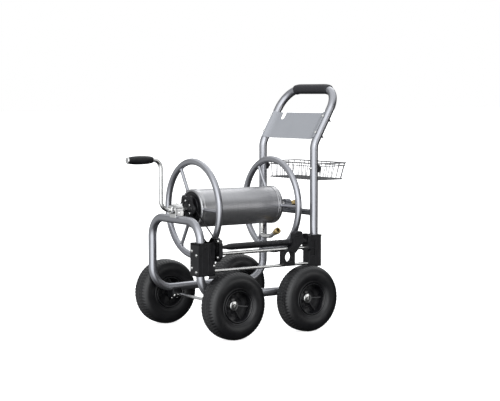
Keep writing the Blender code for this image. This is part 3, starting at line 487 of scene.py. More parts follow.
def make_basket():
    """Wire basket: two rim wires, a bent-up bottom grid and evenly spaced uprights."""
    back_x, rim_x, floor_x = MID_X + 0.2875, MID_X + 0.4345, MID_X + 0.4185
    floor_z, rim_z = 0.572, 0.6345
    rim_y, floor_y = 0.165, 0.158
    wire_r = 0.0014

    def rim_at(z):
        share = (z - floor_z) / (rim_z - floor_z)
        return (floor_x + (rim_x - floor_x) * share, floor_y + (rim_y - floor_y) * share)

    def loop(z, radius):
        x, y = rim_at(z)
        corners = [(back_x, 0, z), (back_x, -y, z), (x, -y, z), (x, y, z), (back_x, y, z),
                   (back_x, 0, z)]
        return arc_path(corners, [radius] * 4, 48)[:-1]

    rims = [loop(rim_z, 0.016), loop(floor_z, 0.012)]
    show(tube("basket_rims", rims[0], 0.0023, WIRE, cyclic=True, resolution=4), "wire_basket")
    show(tube("basket_second_rim", loop(rim_z - 0.011, 0.015), 0.0014, WIRE, cyclic=True,
              resolution=3), body="frame")
    show(tube("basket_floor_rim", rims[1], 0.0018, WIRE, cyclic=True, resolution=3), body="frame")
    uprights = []
    steps = 11
    for k in range(steps):
        share = (k + 0.5) / steps * 2 - 1
        for x_low, x_high in ((back_x, back_x), (floor_x, rim_x)):
            uprights.append([Vector((x_low, share * floor_y * 0.96, floor_z)),
                             Vector((x_high, share * rim_y * 0.96, rim_z))])
    for k in range(5):
        share = (k + 0.5) / 5
        for side in SIDES.values():
            uprights.append([Vector((back_x + (floor_x - back_x) * share, side * floor_y, floor_z)),
                             Vector((back_x + (rim_x - back_x) * share, side * rim_y, rim_z))])
    show(tube("basket_uprights", uprights, wire_r, WIRE, resolution=2), body="frame")
    grid = []
    for k in range(17):
        y = (k - 8) / 8 * floor_y * 0.96
        grid.append([Vector((back_x, y, floor_z - 0.0018)), Vector((floor_x, y, floor_z - 0.0018))])
    for k in range(1, 9):
        x = back_x + (floor_x - back_x) * k / 9
        grid.append([Vector((x, -floor_y, floor_z + 0.0006)), Vector((x, floor_y, floor_z + 0.0006))])
    show(tube("basket_floor_grid", grid, 0.0012, WIRE, resolution=2), body="frame")
    for side_name, side in SIDES.items():
        clamp_z = 0.617
        bm = bmesh.new()
        # a moulded saddle against the tube with a hook over the basket's wires
        middle_x = (HANDLE_END_X + TUBE_R - 0.006 + back_x - 0.001) / 2
        width = back_x - 0.001 - (HANDLE_END_X + TUBE_R - 0.006)
        block(bm, (width, 0.019, 0.031), Matrix.Translation((middle_x, side * SIDE_Y, clamp_z)))
        rod(bm, 0.0085, (back_x - 0.004, side * SIDE_Y, clamp_z),
            (back_x + 0.006, side * SIDE_Y, clamp_z), 28)
        show(to_object(f"basket_clamp_{side_name}_skin", bm, PLASTIC, bevel=0.002),
             f"basket_clamp_{side_name}")
        bm = bmesh.new()
        head = Vector((HANDLE_END_X - TUBE_R, side * SIDE_Y, clamp_z))
        hex_head(bm, head, (-1, 0, 0), 0.0056, 0.004)
        rod(bm, 0.003, head, head + Vector((2 * TUBE_R + 0.008, 0, 0)), 12)
        show(to_object(f"basket_bolt_{side_name}_skin", bm, ZINC), f"basket_bolt_{side_name}")


# ---------------------------------------------------------------- wheels

def smooth_step(low, high, value):
    """0 below low, 1 above high and a smooth rise between them."""
    share = min(1.0, max(0.0, (value - low) / (high - low)))
    return share * share * (3 - 2 * share)


def tyre_mesh():
    """A wide soft tyre: round sidewalls, and staggered lugs across the tread."""
    lugs = 60
    per_lug = 6
    steps = lugs * per_lug
    side = [(0.0614, 0.0335), (0.0635, 0.0364), (0.0660, 0.0375), (0.0678, 0.0380),
            (0.0690, 0.0370), (0.0720, 0.0390), (0.0790, 0.0412), (0.0880, 0.0422),
            (0.0960, 0.0424), (0.1035, 0.0413), (0.1090, 0.0395), (0.1128, 0.0377),
            (0.1150, 0.0366), (0.1172, 0.0350)]
    tread = [(0.1196, 0.0328), (0.1216, 0.0305), (0.1231, 0.0283), (0.1243, 0.0260),
             (0.1251, 0.0238), (0.1257, 0.0216), (0.1262, 0.0196), (0.1266, 0.0176),
             (0.1268, 0.0150), (0.1269, 0.0122), (0.1270, 0.0096), (0.1270, 0.0070),
             (0.1270, 0.0035), (0.1270, 0.0)]
    half = side + tread
    profile = half + [(r, -h) for r, h in reversed(half[:-1])]
    depth = 0.0019
    bm = bmesh.new()
    rings = []
    for radius, height in profile:
        ring = []
        for k in range(steps):
            turn = math.tau * k / steps
            cut = 0.0
            if radius > 0.117:
                along = (k / per_lug) % 1.0
                shift = 0.0 if abs(height) > 0.016 else 0.5
                skew = 0.35 * abs(height) / 0.03
                phase = (along + shift + skew) % 1.0
                across_groove = 1 - smooth_step(0.10, 0.20, min(phase, 1 - phase) * 1.0)
                row_groove = 1 - smooth_step(0.0012, 0.0032, abs(abs(height) - 0.0150))
                centre_groove = 0.7 * (1 - smooth_step(0.0008, 0.0030, abs(height)))
                fade = 1 - smooth_step(0.0318, 0.0356, abs(height))
                cut = depth * fade * max(across_groove, row_groove, centre_groove)
            r = radius - cut
            ring.append(bm.verts.new((r * math.cos(turn), r * math.sin(turn), height)))
        rings.append(ring)
    inner = [bm.verts.new((0.0606 * math.cos(math.tau * k / steps),
                           0.0606 * math.sin(math.tau * k / steps), 0)) for k in range(steps)]
    rings.append(inner)
    for first, second in zip(rings, rings[1:] + rings[:1]):
        for k in range(steps):
            n = (k + 1) % steps
            bm.faces.new((first[k], first[n], second[n], second[k]))
    bmesh.ops.recalc_face_normals(bm, faces=bm.faces)
    mesh = bpy.data.meshes.new("tyre")
    bm.to_mesh(mesh)
    bm.free()
    mesh.shade_smooth()
    mesh.set_sharp_from_angle(angle=math.radians(50))
    return mesh


def rim_mesh():
    """A moulded rim: rolled lips, a dished web stiffened by ribs, and a long hub."""
    bm = bmesh.new()
    inner_h = HUB_INNER_Y - TRACK_Y
    outer_h = HUB_OUTER_Y - TRACK_Y
    lathe(bm, [(0.0604, 0.0335), (0.0598, 0.0362), (0.0580, 0.0368), (0.0562, 0.0358),
               (0.0548, 0.0300), (0.0535, 0.0100), (0.0528, -0.0020), (0.0300, -0.0040),
               (0.0185, -0.0032), (0.0172, outer_h - 0.0008), (0.0160, outer_h),
               (AXLE_R + 0.0006, outer_h), (AXLE_R + 0.0006, inner_h), (0.0160, inner_h),
               (0.0168, inner_h + 0.002), (0.0180, -0.0120), (0.0300, -0.0100),
               (0.0528, -0.0085), (0.0545, -0.0300), (0.0562, -0.0358), (0.0580, -0.0368),
               (0.0598, -0.0362), (0.0604, -0.0335)], 96)
    ribs = 6
    for k in range(ribs):
        turn = math.tau * (k + 0.25) / ribs
        spin = Matrix.Rotation(turn, 4, "Z")
        for low, high, top in ((-0.0035, 0.0010, 0.0150), (-0.0100, -0.0220, -0.0260)):
            loop = [(0.0200, low), (0.0200, high), (0.0545, top), (0.0535, low)]
            prism(bm, loop, 0.0026, spin @ Matrix.Rotation(math.pi / 2, 4, "X"))
    # a raised ring between hub and rim, as moulded wheels have
    lathe(bm, [(0.0365, 0.0035), (0.0345, 0.0035), (0.0345, -0.0040), (0.0365, -0.0040)], 72)
    bmesh.ops.recalc_face_normals(bm, faces=bm.faces)
    mesh = bpy.data.meshes.new("rim")
    bm.to_mesh(mesh)
    bm.free()
    mesh.shade_smooth()
    mesh.set_sharp_from_angle(angle=math.radians(35))
    return mesh


def make_wheels():
    """Axles, tyres, rims, caps and the saddles that hold the axles under the rails."""
    tyre, rim = tyre_mesh(), rim_mesh()
    for end, axle_x in AXLE_X.items():
        show(tube(f"axle_{end}_skin",
                  [Vector((axle_x, -HUB_OUTER_Y - 0.004, WHEEL_R)),
                   Vector((axle_x, HUB_OUTER_Y + 0.004, WHEEL_R))], AXLE_R, ZINC), f"axle_{end}")
        for side_name, side in SIDES.items():
            place = aim((axle_x, side * TRACK_Y, WHEEL_R), (0, side, 0))
            for part, mesh, material in (("tyre", tyre, RUBBER), ("rim", rim, RIM_PLASTIC)):
                bm = bmesh.new()
                bm.from_mesh(mesh)
                # the contact patch: a lug stands straight down on the floor
                spin = Matrix.Rotation(0.31 * (axle_x + side), 4, "Z") if part == "rim" else (
                    Matrix.Identity(4))
                show(to_object(f"{part}_{end}_{side_name}_skin", bm, material, place @ spin,
                               sharp=50 if part == "tyre" else 35), f"{part}_{end}_{side_name}")
            cap_base = HUB_OUTER_Y + 0.0006
            cap = [(0, 0.0056), (0.0036, 0.0056), (0.0044, 0.0078), (0.0165, 0.0078),
                   (0.0180, 0.0068), (0.0188, 0.0048), (0.0188, 0), (AXLE_R + 0.0006, 0),
                   (AXLE_R + 0.0006, 0.0045), (0, 0.0045)]
            show(turned(f"axle_cap_{end}_{side_name}_skin", cap, ZINC,
                        (axle_x, side * cap_base, WHEEL_R), (0, side, 0), 48, closed=False,
                        bevel=0), f"axle_cap_{end}_{side_name}")
            bm = bmesh.new()
            bottom, top, half = WHEEL_R - 0.015, RAIL_Z - 0.003, SADDLE_HALF
            block(bm, (2 * half, 2 * half, top - bottom),
                  Matrix.Translation((axle_x, side * SIDE_Y, (bottom + top) / 2)))
            show(to_object(f"axle_saddle_{end}_{side_name}_skin", bm, PLASTIC, bevel=0.0025,
                           segments=3), f"axle_saddle_{end}_{side_name}")
            bm = bmesh.new()
            for step in (-0.012, 0.012):
                hex_head(bm, (axle_x + step, side * SIDE_Y, bottom), (0, 0, -1), 0.0042, 0.003)
                hex_head(bm, (axle_x + step, side * (SIDE_Y - half), bottom + 0.009),
                         (0, -side, 0), 0.0036, 0.0028)
            show(to_object(f"saddle_screws_{end}_{side_name}", bm, ZINC), body="frame")


# ---------------------------------------------------------------- reel

def make_reel():
    """The drum, its two ring flanges, the shaft and the lobed hub."""
    low, high = DRUM_END_X["crank"] + 0.0066, DRUM_END_X["inlet"] - 0.0066
    skin = 0.0016
    barrel_r = DRUM_R - skin - 0.0003
    length = high - low
    show(turned("drum_barrel_skin",
                [(barrel_r, length), (barrel_r, length * 0.5), (barrel_r, 0),
                 (barrel_r - skin, 0), (barrel_r - skin, length)],
                DRUM_STEEL, (low, 0, REEL_Z), (1, 0, 0), 128, bevel=0), "drum_barrel")
    show(tube("drum_seam", [Vector((low + 0.02, 0.030, REEL_Z - barrel_r * 0.912)),
                            Vector((high - 0.02, 0.030, REEL_Z - barrel_r * 0.912))],
              0.0010, DRUM_STEEL, resolution=2), body="reel")
    for end, sign in (("crank", -1), ("inlet", 1)):
        r = DRUM_R
        profile = [(r - 0.0080, -0.0006), (r - 0.0066, 0), (r - 0.0050, 0), (r - 0.0028, -0.0006),
                   (r - 0.0009, -0.0022), (r, -0.0048), (r, -0.0125), (r - 0.0007, -0.0133),
                   (r - 0.0007, -0.0150), (r, -0.0158), (r, -0.0212), (r - 0.0006, -0.0220),
                   (r - skin, -0.0220), (r - skin, -0.0063), (0.0103, -0.0061),
                   (0.0103, -0.0045), (r - 0.0100, -0.0045), (r - 0.0088, -0.0036)]
        show(turned(f"drum_end_{end}_skin", profile, DRUM_END_STEEL,
                    (DRUM_END_X[end], 0, REEL_Z), (sign, 0, 0), 128, bevel=0), f"drum_end_{end}")
    for end, x in RING_X.items():
        show(tube(f"flange_ring_{end}_skin", ring_points((x, 0, REEL_Z), RING_R, 144),
                  RING_TUBE_R, FRAME_STEEL, cyclic=True), f"flange_ring_{end}")
        spokes = []
        beads = bmesh.new()
        for angle in SPOKE_ANGLES:
            out = Vector((0, math.sin(math.radians(angle)), math.cos(math.radians(angle))))
            centre = Vector((x, 0, REEL_Z))
            spokes.append([centre + out * (DRUM_R + 0.0003), centre + out * (RING_R - 0.006)])
            for at, way in ((DRUM_R + 0.0003, out), (RING_R - RING_TUBE_R + 0.0008, -out)):
                lathe(beads, [(SPOKE_R, 0.0035), (SPOKE_R + 0.0016, 0.001), (SPOKE_R + 0.002, 0),
                              (SPOKE_R, 0)], 32, aim(centre + out * at, way))
        show(tube(f"spokes_{end}", spokes, SPOKE_R, FRAME_STEEL), body="reel")
        show(to_object(f"spoke_welds_{end}", beads, FRAME_STEEL), body="reel")

    shaft_low, shaft_high = MID_X - 0.290, MID_X + 0.2695
    length = shaft_high - shaft_low
    neck = 0.0155
    profile = [(0, 0), (0.0070, 0), (0.0075, -0.0006), (0.0075, -neck), (0.0095, -neck),
               (0.010, -neck - 0.0006), (0.010, -neck - length), (0.0083, -neck - length),
               (0.0083, -neck - length + 0.040), (0, -neck - length + 0.040)]
    show(turned("reel_shaft_skin", profile, ZINC, (shaft_high + neck, 0, REEL_Z), (1, 0, 0), 48,
                closed=False, bevel=0), "reel_shaft")

    # the lobed hub, its ribs and bolts, and the disc behind the sprocket
    face_x, thickness, lobes = MID_X - 0.2155, 0.007, 6
    loop = []
    for k in range(144):
        turn = math.tau * k / 144
        radius = 0.0515 + 0.0062 * math.cos(lobes * turn)
        loop.append((radius * math.cos(turn), radius * math.sin(turn)))
    bm = bmesh.new()
    prism(bm, loop, thickness, Matrix.Translation((face_x + thickness / 2, 0, REEL_Z)) @ SIDE_ON)
    out = aim((face_x, 0, REEL_Z), (-1, 0, 0))
    lathe(bm, [(0.0150, 0.0040), (0.0165, 0.0036), (0.0220, 0), (0.0220, -0.002),
               (0.0104, -0.002), (0.0104, 0.0040)], 48, out)
    lathe(bm, [(0.0430, 0.0016), (0.0410, 0.0016), (0.0410, -0.001), (0.0430, -0.001)], 72, out)
    for k in range(lobes):
        turn = math.tau * k / lobes
        spot = out @ Vector((0.031 * math.cos(turn + 0.52), 0.031 * math.sin(turn + 0.52), 0))
        block(bm, (0.0180, 0.0022, 0.0035),
              out @ Matrix.Rotation(turn, 4, "Z") @ Matrix.Translation((0.0315, 0, 0.0008)))
        lathe(bm, [(0.0075, 0.0018), (0.0075, -0.001), (0.0035, -0.001), (0.0035, 0.0018)], 24,
              aim(spot, (-1, 0, 0)))
    show(to_object("lobed_hub_skin", bm, PLASTIC, bevel=0.0008), "lobed_hub")
    bm = bmesh.new()
    for k in range(lobes):
        turn = math.tau * (k + 0.5) / lobes
        spot = out @ Vector((0.031 * math.cos(turn), 0.031 * math.sin(turn), 0.0018))
        hex_head(bm, spot, (-1, 0, 0), 0.0048, 0.0034, washer=False)
    show(to_object("hub_bolts", bm, ZINC), body="reel")
    show(turned("hub_backing_disc_skin",
                [(0.0485, 0), (0.0500, -0.0012), (0.0500, -0.0058), (0.0485, -0.0070),
                 (0.0104, -0.0070), (0.0104, 0)], PLASTIC, (MID_X - 0.1965, 0, REEL_Z),
                (-1, 0, 0), 72, bevel=0), "hub_backing_disc")
    # a black ring over the annulus of the crank end's recess: painted shade that darkens the recess,
    # and also a stand-in for the black plastic disc the real reel seems to have there
    show(turned("drum_end_shade_ring", [(0.0630, -0.0008), (0.0638, -0.0016), (0.0638, -0.0044),
                                    (0.0504, -0.0044), (0.0504, -0.0008)], PLASTIC,
                (DRUM_END_X["crank"], 0, REEL_Z), (-1, 0, 0), 96, bevel=0), body="reel")
    for node in ("reel_sprocket", "screw_sprocket"):
        repaint(node, CHAIN_STEEL)


def chain_loop(offset, count):
    """Evenly spaced (Y, Z) points and headings round both sprockets."""
    pitch = 0.00635
    big_c, small_c = Vector((0, REEL_Z)), Vector((GUIDE_Y, SCREW_Z))
    big_r = pitch / (2 * math.sin(math.pi / 24)) - 0.0004 + offset
    small_r = pitch / (2 * math.sin(math.pi / 20)) - 0.0004 + offset
    line = small_c - big_c
    heading = math.atan2(line.y, line.x)
    lean = math.acos((big_r - small_r) / line.length)
    dense = []
    for k in range(241):
        turn = heading + lean + (math.tau - 2 * lean) * k / 240
        dense.append(big_c + Vector((math.cos(turn), math.sin(turn))) * big_r)
    for k in range(241):
        turn = heading - lean + 2 * lean * k / 240
        dense.append(small_c + Vector((math.cos(turn), math.sin(turn))) * small_r)
    dense.append(dense[0])
    lengths = [0.0]
    for a, b in zip(dense, dense[1:]):
        lengths.append(lengths[-1] + (b - a).length)
    points = []
    segment = 0
    for k in range(count):
        want = lengths[-1] * k / count
        while lengths[segment + 1] < want:
            segment += 1
        share = (want - lengths[segment]) / (lengths[segment + 1] - lengths[segment])
        points.append(dense[segment].lerp(dense[segment + 1], share))
    return points


def make_chain():
    """Rollers and two rows of plates for each link of the chain."""
    count = 92
    points = chain_loop(0.00285, count)
    bm = bmesh.new()
    for k in range(count):
        here = Vector((CHAIN_X, points[k].x, points[k].y))
        ahead = Vector((CHAIN_X, points[(k + 1) % count].x, points[(k + 1) % count].y))
        rod(bm, 0.0016, here - Vector((0.0014, 0, 0)), here + Vector((0.0014, 0, 0)), 10)
        way = (ahead - here).normalized()
        across = Vector((1, 0, 0)).cross(way)
        turn = Matrix((way, across, Vector((1, 0, 0)))).transposed().to_4x4()
        length = (ahead - here).length
        outline = [(-0.0018, -0.0009), (-0.0009, -0.0019), (length * 0.5, -0.0014),
                   (length + 0.0009, -0.0019), (length + 0.0018, -0.0009),
                   (length + 0.0018, 0.0009), (length + 0.0009, 0.0019), (length * 0.5, 0.0014),
                   (-0.0009, 0.0019), (-0.0018, 0.0009)]
        reach = 0.0014 if k % 2 else 0.0021
        for side in (-reach, reach):
            prism(bm, outline, 0.0006,
                  Matrix.Translation(here + Vector((side, 0, 0))) @ turn)
    show(to_object("drive_chain_skin", bm, CHAIN_STEEL), "drive_chain")


def make_crank():
    """The crank rod, its clamp collar and bolt, and the grip with its end cap."""
    arm_x = MID_X - 0.328
    path = arc_path([(MID_X - 0.255, 0, REEL_Z), (arm_x, 0, REEL_Z), (arm_x, 0, GRIP_Z),
                     (CRANK_TIP_X + 0.0055, 0, GRIP_Z)], [0.036, 0.034])
    show(tube("crank_arm_skin", path, CRANK_ROD_R, ZINC), "crank_arm")
    collar_x = MID_X - 0.2845
    show(turned("crank_collar_skin",
                [(0.0155, 0.006), (0.0165, 0.005), (0.0165, -0.005), (0.0155, -0.006),
                 (0.0104, -0.006), (0.0104, 0.006)], ZINC, (collar_x, 0, REEL_Z), (1, 0, 0),
                48, bevel=0), "crank_collar")
    bm = bmesh.new()
    lean = Vector((0, -0.8, 0.6))
    seat = Vector((collar_x, 0, REEL_Z)) + lean * 0.0162
    hex_head(bm, seat, lean, 0.0055, 0.0042, washer=False)
    show(to_object("crank_bolt_skin", bm, ZINC), "crank_bolt")
    length = 0.104
    middle = CRANK_TIP_X + 0.0053 + length / 2
    outline = []
    for k in range(25):
        t = k / 24 * 2 - 1
        outline.append((0.0120 + 0.0042 * (1 - abs(t) ** 2.4), -t * length / 2))
    outline[0] = (0.0112, length / 2)
    outline[-1] = (0.0112, -length / 2)
    profile = outline + [(0.0083, -length / 2), (0.0083, length / 2)]
    bm = bmesh.new()
    steps = 96
    lathe(bm, profile, steps)
    # shallow flutes along the grip
    for vert in bm.verts:
        radius = math.hypot(vert.co.x, vert.co.y)
        if radius > 0.0118:
            turn = math.atan2(vert.co.y, vert.co.x)
            dip = 0.00035 * (0.5 - 0.5 * math.cos(turn * 24))
            vert.co.x *= 1 - dip / radius
            vert.co.y *= 1 - dip / radius
    show(to_object("crank_grip_skin", bm, PLASTIC, aim((middle, 0, GRIP_Z), (-1, 0, 0))),
         "crank_grip")
    show(turned("grip_end_cap_skin",
                [(0, 0.005), (0.0085, 0.0048), (0.0112, 0.0038), (0.0124, 0.0018), (0.0125, 0),
                 (0, 0)], ZINC, (CRANK_TIP_X + 0.005, 0, GRIP_Z), (-1, 0, 0), 48, closed=False,
                bevel=0), "grip_end_cap")


def make_outlet():
    """The water pipe out of the drum and the brass hose thread on its end."""
    pipe_x = MID_X + 0.163
    out = Vector((0, -math.cos(math.radians(28)), math.sin(math.radians(28))))
    mouth = Vector((pipe_x, -0.0510, 0.3642))
    root = Vector((pipe_x, 0.037, REEL_Z - 0.0630))
    bend = Vector((pipe_x, 0.037, 0.3440))
    path = arc_path([root, bend, mouth - out * 0.033, mouth], [0.014, 0.012])
    show(tube("outlet_pipe_skin", path, 0.0085, ZINC), "outlet_pipe")
    profile = [(0, 0.006), (0.0075, 0.006), (0.0075, 0.0235), (0.0082, 0.024), (0.0118, 0.024),
               (0.0125, 0.0232), (0.0125, 0.0215), (0.0119, 0.0208), (0.0125, 0.0200),
               (0.0125, 0.0110), (0.0119, 0.0104), (0.0106, 0.0080), (0.0106, 0), (0, 0)]
    show(turned("outlet_fitting_skin", profile, BRASS, mouth + out * 0.0003, out, 48,
                closed=False, bevel=0), "outlet_fitting")
    show(turned("outlet_root", [(0.0135, 0.004), (0.0140, 0.0025), (0.0140, 0), (0.0085, 0),
                                (0.0085, 0.004)], ZINC, root + Vector((0, 0.001, -0.002)),
                (0, 0.45, -0.89), 40, bevel=0), body="reel")
    show(turned("outlet_liner", [(0, 0.0115), (0.0072, 0.0115), (0.0072, 0.0062),
                                 (0, 0.0062)], PLASTIC, mouth + out * 0.0003, out, 40,
                closed=False, bevel=0), body="reel")


def make_bearings():
    """The two pillow blocks, the swivel and the coupling nut."""
    def bearing(name, node, x, width, half, foot_z, material, lip):
        loop = [(half * math.cos(math.radians(k * 6)), REEL_Z + half * math.sin(math.radians(k * 6)))
                for k in range(31)] + [(-half, foot_z), (half, foot_z)]
        bm = bmesh.new()
        prism(bm, loop, width, Matrix.Translation((x, 0, 0)) @ SIDE_ON)
        for way in (-1, 1):
            lathe(bm, [(0.0145, lip), (0.0155, lip * 0.6), (0.0155, -0.001), (0.0104, -0.001),
                       (0.0104, lip)], 48, aim((x + way * width / 2, 0, REEL_Z), (way, 0, 0)))
        show(to_object(name, bm, material, bevel=0.0015, segments=3), node)

    bearing("crank_bearing_skin", "crank_bearing", MID_X - 0.259, 0.036, 0.0205,
            HOOP_TOP_Z + 0.003, ZINC, 0.0010)
    bearing("inlet_bearing_skin", "inlet_bearing", MID_X + 0.2565, 0.025, 0.0190,
            CROSS_BAR_Z + 0.002, CROSS_BAR_STEEL, 0.0008)
    bm = bmesh.new()
    for side in SIDES.values():
        hex_head(bm, (MID_X - 0.259, side * 0.0205, REEL_Z - 0.012), (0, side, 0), 0.0045, 0.0035)
    hex_head(bm, (MID_X - 0.259, 0, REEL_Z + 0.0203), (0, 0, 1), 0.0050, 0.0035)
    show(to_object("crank_bearing_bolts", bm, ZINC), body="frame")
    start = MID_X + 0.2702
    profile = [(0.0092, 0.0330), (0.0092, 0.0300), (0.0070, 0.0300), (0.0070, 0.0212),
               (0.0100, 0.0212), (0.0108, 0.0204), (0.0108, 0.0008), (0.0100, 0), (0.0079, 0),
               (0.0079, 0.0155), (0.0045, 0.0155), (0.0045, 0.0330)]
    show(turned("inlet_swivel_skin", profile, BRASS, (start, 0, REEL_Z), (1, 0, 0), 48, bevel=0),
         "inlet_swivel")
    bm = bmesh.new()
    profile = [(0.0122, 0.0500), (0.0128, 0.0494), (0.0130, 0.0480), (0.0130, 0.0240),
               (0.0118, 0.0216), (0.0074, 0.0216), (0.0074, 0.0290), (0.0098, 0.0290),
               (0.0098, 0.0500)]
    lathe(bm, profile, 60)
    for k in range(12):
        turn = Matrix.Rotation(math.tau * k / 12, 4, "Z")
        block(bm, (0.0016, 0.0026, 0.018), turn @ Matrix.Translation((0.0128, 0, 0.0365)))
    show(to_object("inlet_coupling_skin", bm, BRASS, aim((start, 0, REEL_Z), (1, 0, 0)),
                   bevel=0.0003), "inlet_coupling")


# ---------------------------------------------------------------- level wind

def make_gear_case():
    """The case on the near leg, and the open cover round the lower sprocket."""
    low_x, high_x = MID_X - 0.285, CASE_FACE_X
    low_z, high_z = 0.2365, 0.3595
    near_y, far_y = -0.190, -0.134
    bm = bmesh.new()
    middle = ((low_x + high_x) / 2, (near_y + far_y) / 2, (low_z + high_z) / 2)
    block(bm, (high_x - low_x - 0.001, far_y - near_y - 0.002, high_z - low_z),
          Matrix.Translation(middle))
    # split flanges that clasp the leg, standing a little proud of the walls
    for z in (low_z + 0.004, high_z - 0.004):
        block(bm, (high_x - low_x, far_y - near_y, 0.008), Matrix.Translation((middle[0],
                                                                             middle[1], z)))
    for x, width in ((low_x + 0.0035, 0.007), (CRANK_END_X - 0.004, 0.003),
                     (MID_X - 0.2395, 0.003), (high_x - 0.0025, 0.005)):
        block(bm, (width, far_y - near_y, high_z - low_z - 0.004),
              Matrix.Translation((x, middle[1], middle[2])))
    show(to_object("gear_case_skin", bm, PLASTIC, bevel=0.0010), "gear_case")
    bm = bmesh.new()
    rib_low, rib_high = 0.2800, 0.3345
    for x in (MID_X - 0.2330, MID_X - 0.2215):
        block(bm, (0.0022, 0.0016, rib_high - rib_low),
              Matrix.Translation((x, near_y - 0.0002, (rib_low + rib_high) / 2)))
    block(bm, (0.0140, 0.0012, 0.0022), Matrix.Translation((MID_X - 0.2272, near_y, rib_high)))
    lathe(bm, [(0.0062, 0.0014), (0.0070, 0), (0.0070, -0.002), (0.0035, -0.002),
               (0.0035, 0.0014)], 32, aim((MID_X - 0.250, near_y, 0.342), (0, -1, 0)))
    show(to_object("gear_case_ribs", bm, PLASTIC, bevel=0.0004), body="frame")
    bm = bmesh.new()
    for y, z in ((-0.146, 0.329), (-0.146, 0.266), (-0.177, 0.315), (-0.176, 0.252)):
        hex_head(bm, (low_x, y, z), (-1, 0, 0), 0.0044, 0.0030)
    hex_head(bm, (MID_X - 0.2150, near_y, 0.2735), (0, -1, 0), 0.0036, 0.0026)
    face, back = CASE_FACE_X + 0.0003, COVER_BACK_X
    for y, z in ((GUIDE_Y - 0.0275, 0.3650), (GUIDE_Y - 0.0260, 0.3050)):
        hex_head(bm, (face, y, z), (-1, 0, 0), 0.0044, 0.0030)
        hex_head(bm, (back, y, z), (1, 0, 0), 0.0042, 0.0034)
    hex_head(bm, (back, GUIDE_Y + 0.0240, 0.3010), (1, 0, 0), 0.0042, 0.0030)
    show(to_object("gear_case_screws", bm, ZINC), body="frame")

    half_y, chamfer, low, high = 0.0390, 0.020, 0.288, 0.3765
    loop = [(half_y, low + chamfer), (half_y, high - chamfer), (half_y - chamfer, high),
            (chamfer - half_y, high), (-half_y, high - chamfer), (-half_y, low + chamfer),
            (chamfer - half_y, low), (half_y - chamfer, low)]

    def ring_loop(scale):
        middle_z = (low + high) / 2
        return [(GUIDE_Y + y * scale, middle_z + (z - middle_z) * scale) for y, z in loop]

    bm = bmesh.new()
    # an open-fronted shell: back plate and rim wall, with the sprocket inside
    wall = 0.0032
    outer, inner = ring_loop(1.0), ring_loop(1 - wall / half_y)
    x_front, x_back = face, back
    for k in range(8):
        n = (k + 1) % 8
        if k == 0:
            continue    # the chain leaves through this side
        corners = [outer[k], outer[n], inner[n], inner[k]]
        prism(bm, corners, x_back - x_front,
              Matrix.Translation(((x_front + x_back) / 2, 0, 0)) @ SIDE_ON)
    prism(bm, ring_loop(0.999), 0.0030, Matrix.Translation((x_back - 0.0015, 0, 0)) @ SIDE_ON)
    prism(bm, ring_loop(0.80), 0.0012, Matrix.Translation((x_back, 0, 0)) @ SIDE_ON)
    lathe(bm, [(0.0125, 0.0015), (0.0135, 0), (0.0135, -0.002), (0.0065, -0.002),
               (0.0065, 0.0015)], 40, aim((x_back, GUIDE_Y, SCREW_Z), (1, 0, 0)))
    show(to_object("gear_cover_skin", bm, PLASTIC, bevel=0.0006), "gear_cover")


def make_right_bracket():
    """The bracket on the near upright, and the boss that holds the screw."""
    low_x, high_x = MID_X + 0.225, MID_X + 0.2826
    near_y, far_y, low_z, high_z = -0.192, -0.150, 0.239, 0.360
    cx, cy = (low_x + high_x) / 2, (near_y + far_y) / 2
    bm = bmesh.new()
    core = near_y + 0.004
    block(bm, (high_x - low_x, far_y - core, high_z - low_z),
          Matrix.Translation((cx, (core + far_y) / 2, (low_z + high_z) / 2)))
    # the face is a frame of ribs round two windows
    left, right = MID_X + 0.2333, MID_X + 0.2543
    for x0, x1, z0, z1 in ((low_x, left, low_z, high_z), (right, high_x, low_z, high_z),
                           (left, right, low_z, 0.2810), (left, right, 0.3080, 0.3120),
                           (left, right, 0.3408, high_z)):
        block(bm, (x1 - x0, 0.0042, z1 - z0),
              Matrix.Translation(((x0 + x1) / 2, near_y + 0.0021, (z0 + z1) / 2)))
    block(bm, (high_x - low_x + 0.003, far_y - near_y + 0.003, 0.0055),
          Matrix.Translation((cx, cy, high_z - 0.0007)))
    block(bm, (0.0025, 0.0016, 0.105), Matrix.Translation((MID_X + 0.2735, near_y, 0.300)))
    show(to_object("right_bracket_skin", bm, PLASTIC, bevel=0.0008), "right_bracket")
    loop = [(GUIDE_Y + 0.020, 0.302), (GUIDE_Y + 0.020, 0.362), (GUIDE_Y + 0.012, 0.368),
            (GUIDE_Y - 0.012, 0.368), (GUIDE_Y - 0.0205, 0.360), (GUIDE_Y - 0.0205, 0.310),
            (GUIDE_Y - 0.012, 0.302)]
    bm = bmesh.new()
    depth = low_x - RIGHT_BOSS_X + 0.001
    prism(bm, loop, depth, Matrix.Translation((RIGHT_BOSS_X + depth / 2, 0, 0)) @ SIDE_ON)
    lathe(bm, [(0.0120, 0.0008), (0.0130, 0), (0.0130, -0.002), (0.0065, -0.002),
               (0.0065, 0.0008)], 40, aim((RIGHT_BOSS_X, GUIDE_Y, SCREW_Z), (-1, 0, 0)))
    show(to_object("right_bracket_boss", bm, PLASTIC, bevel=0.0010), body="frame")
    bm = bmesh.new()
    for z in (0.330, 0.268):
        hex_head(bm, (high_x, -0.170, z), (1, 0, 0), 0.0044, 0.0030)
    show(to_object("right_bracket_screws", bm, ZINC), body="frame")


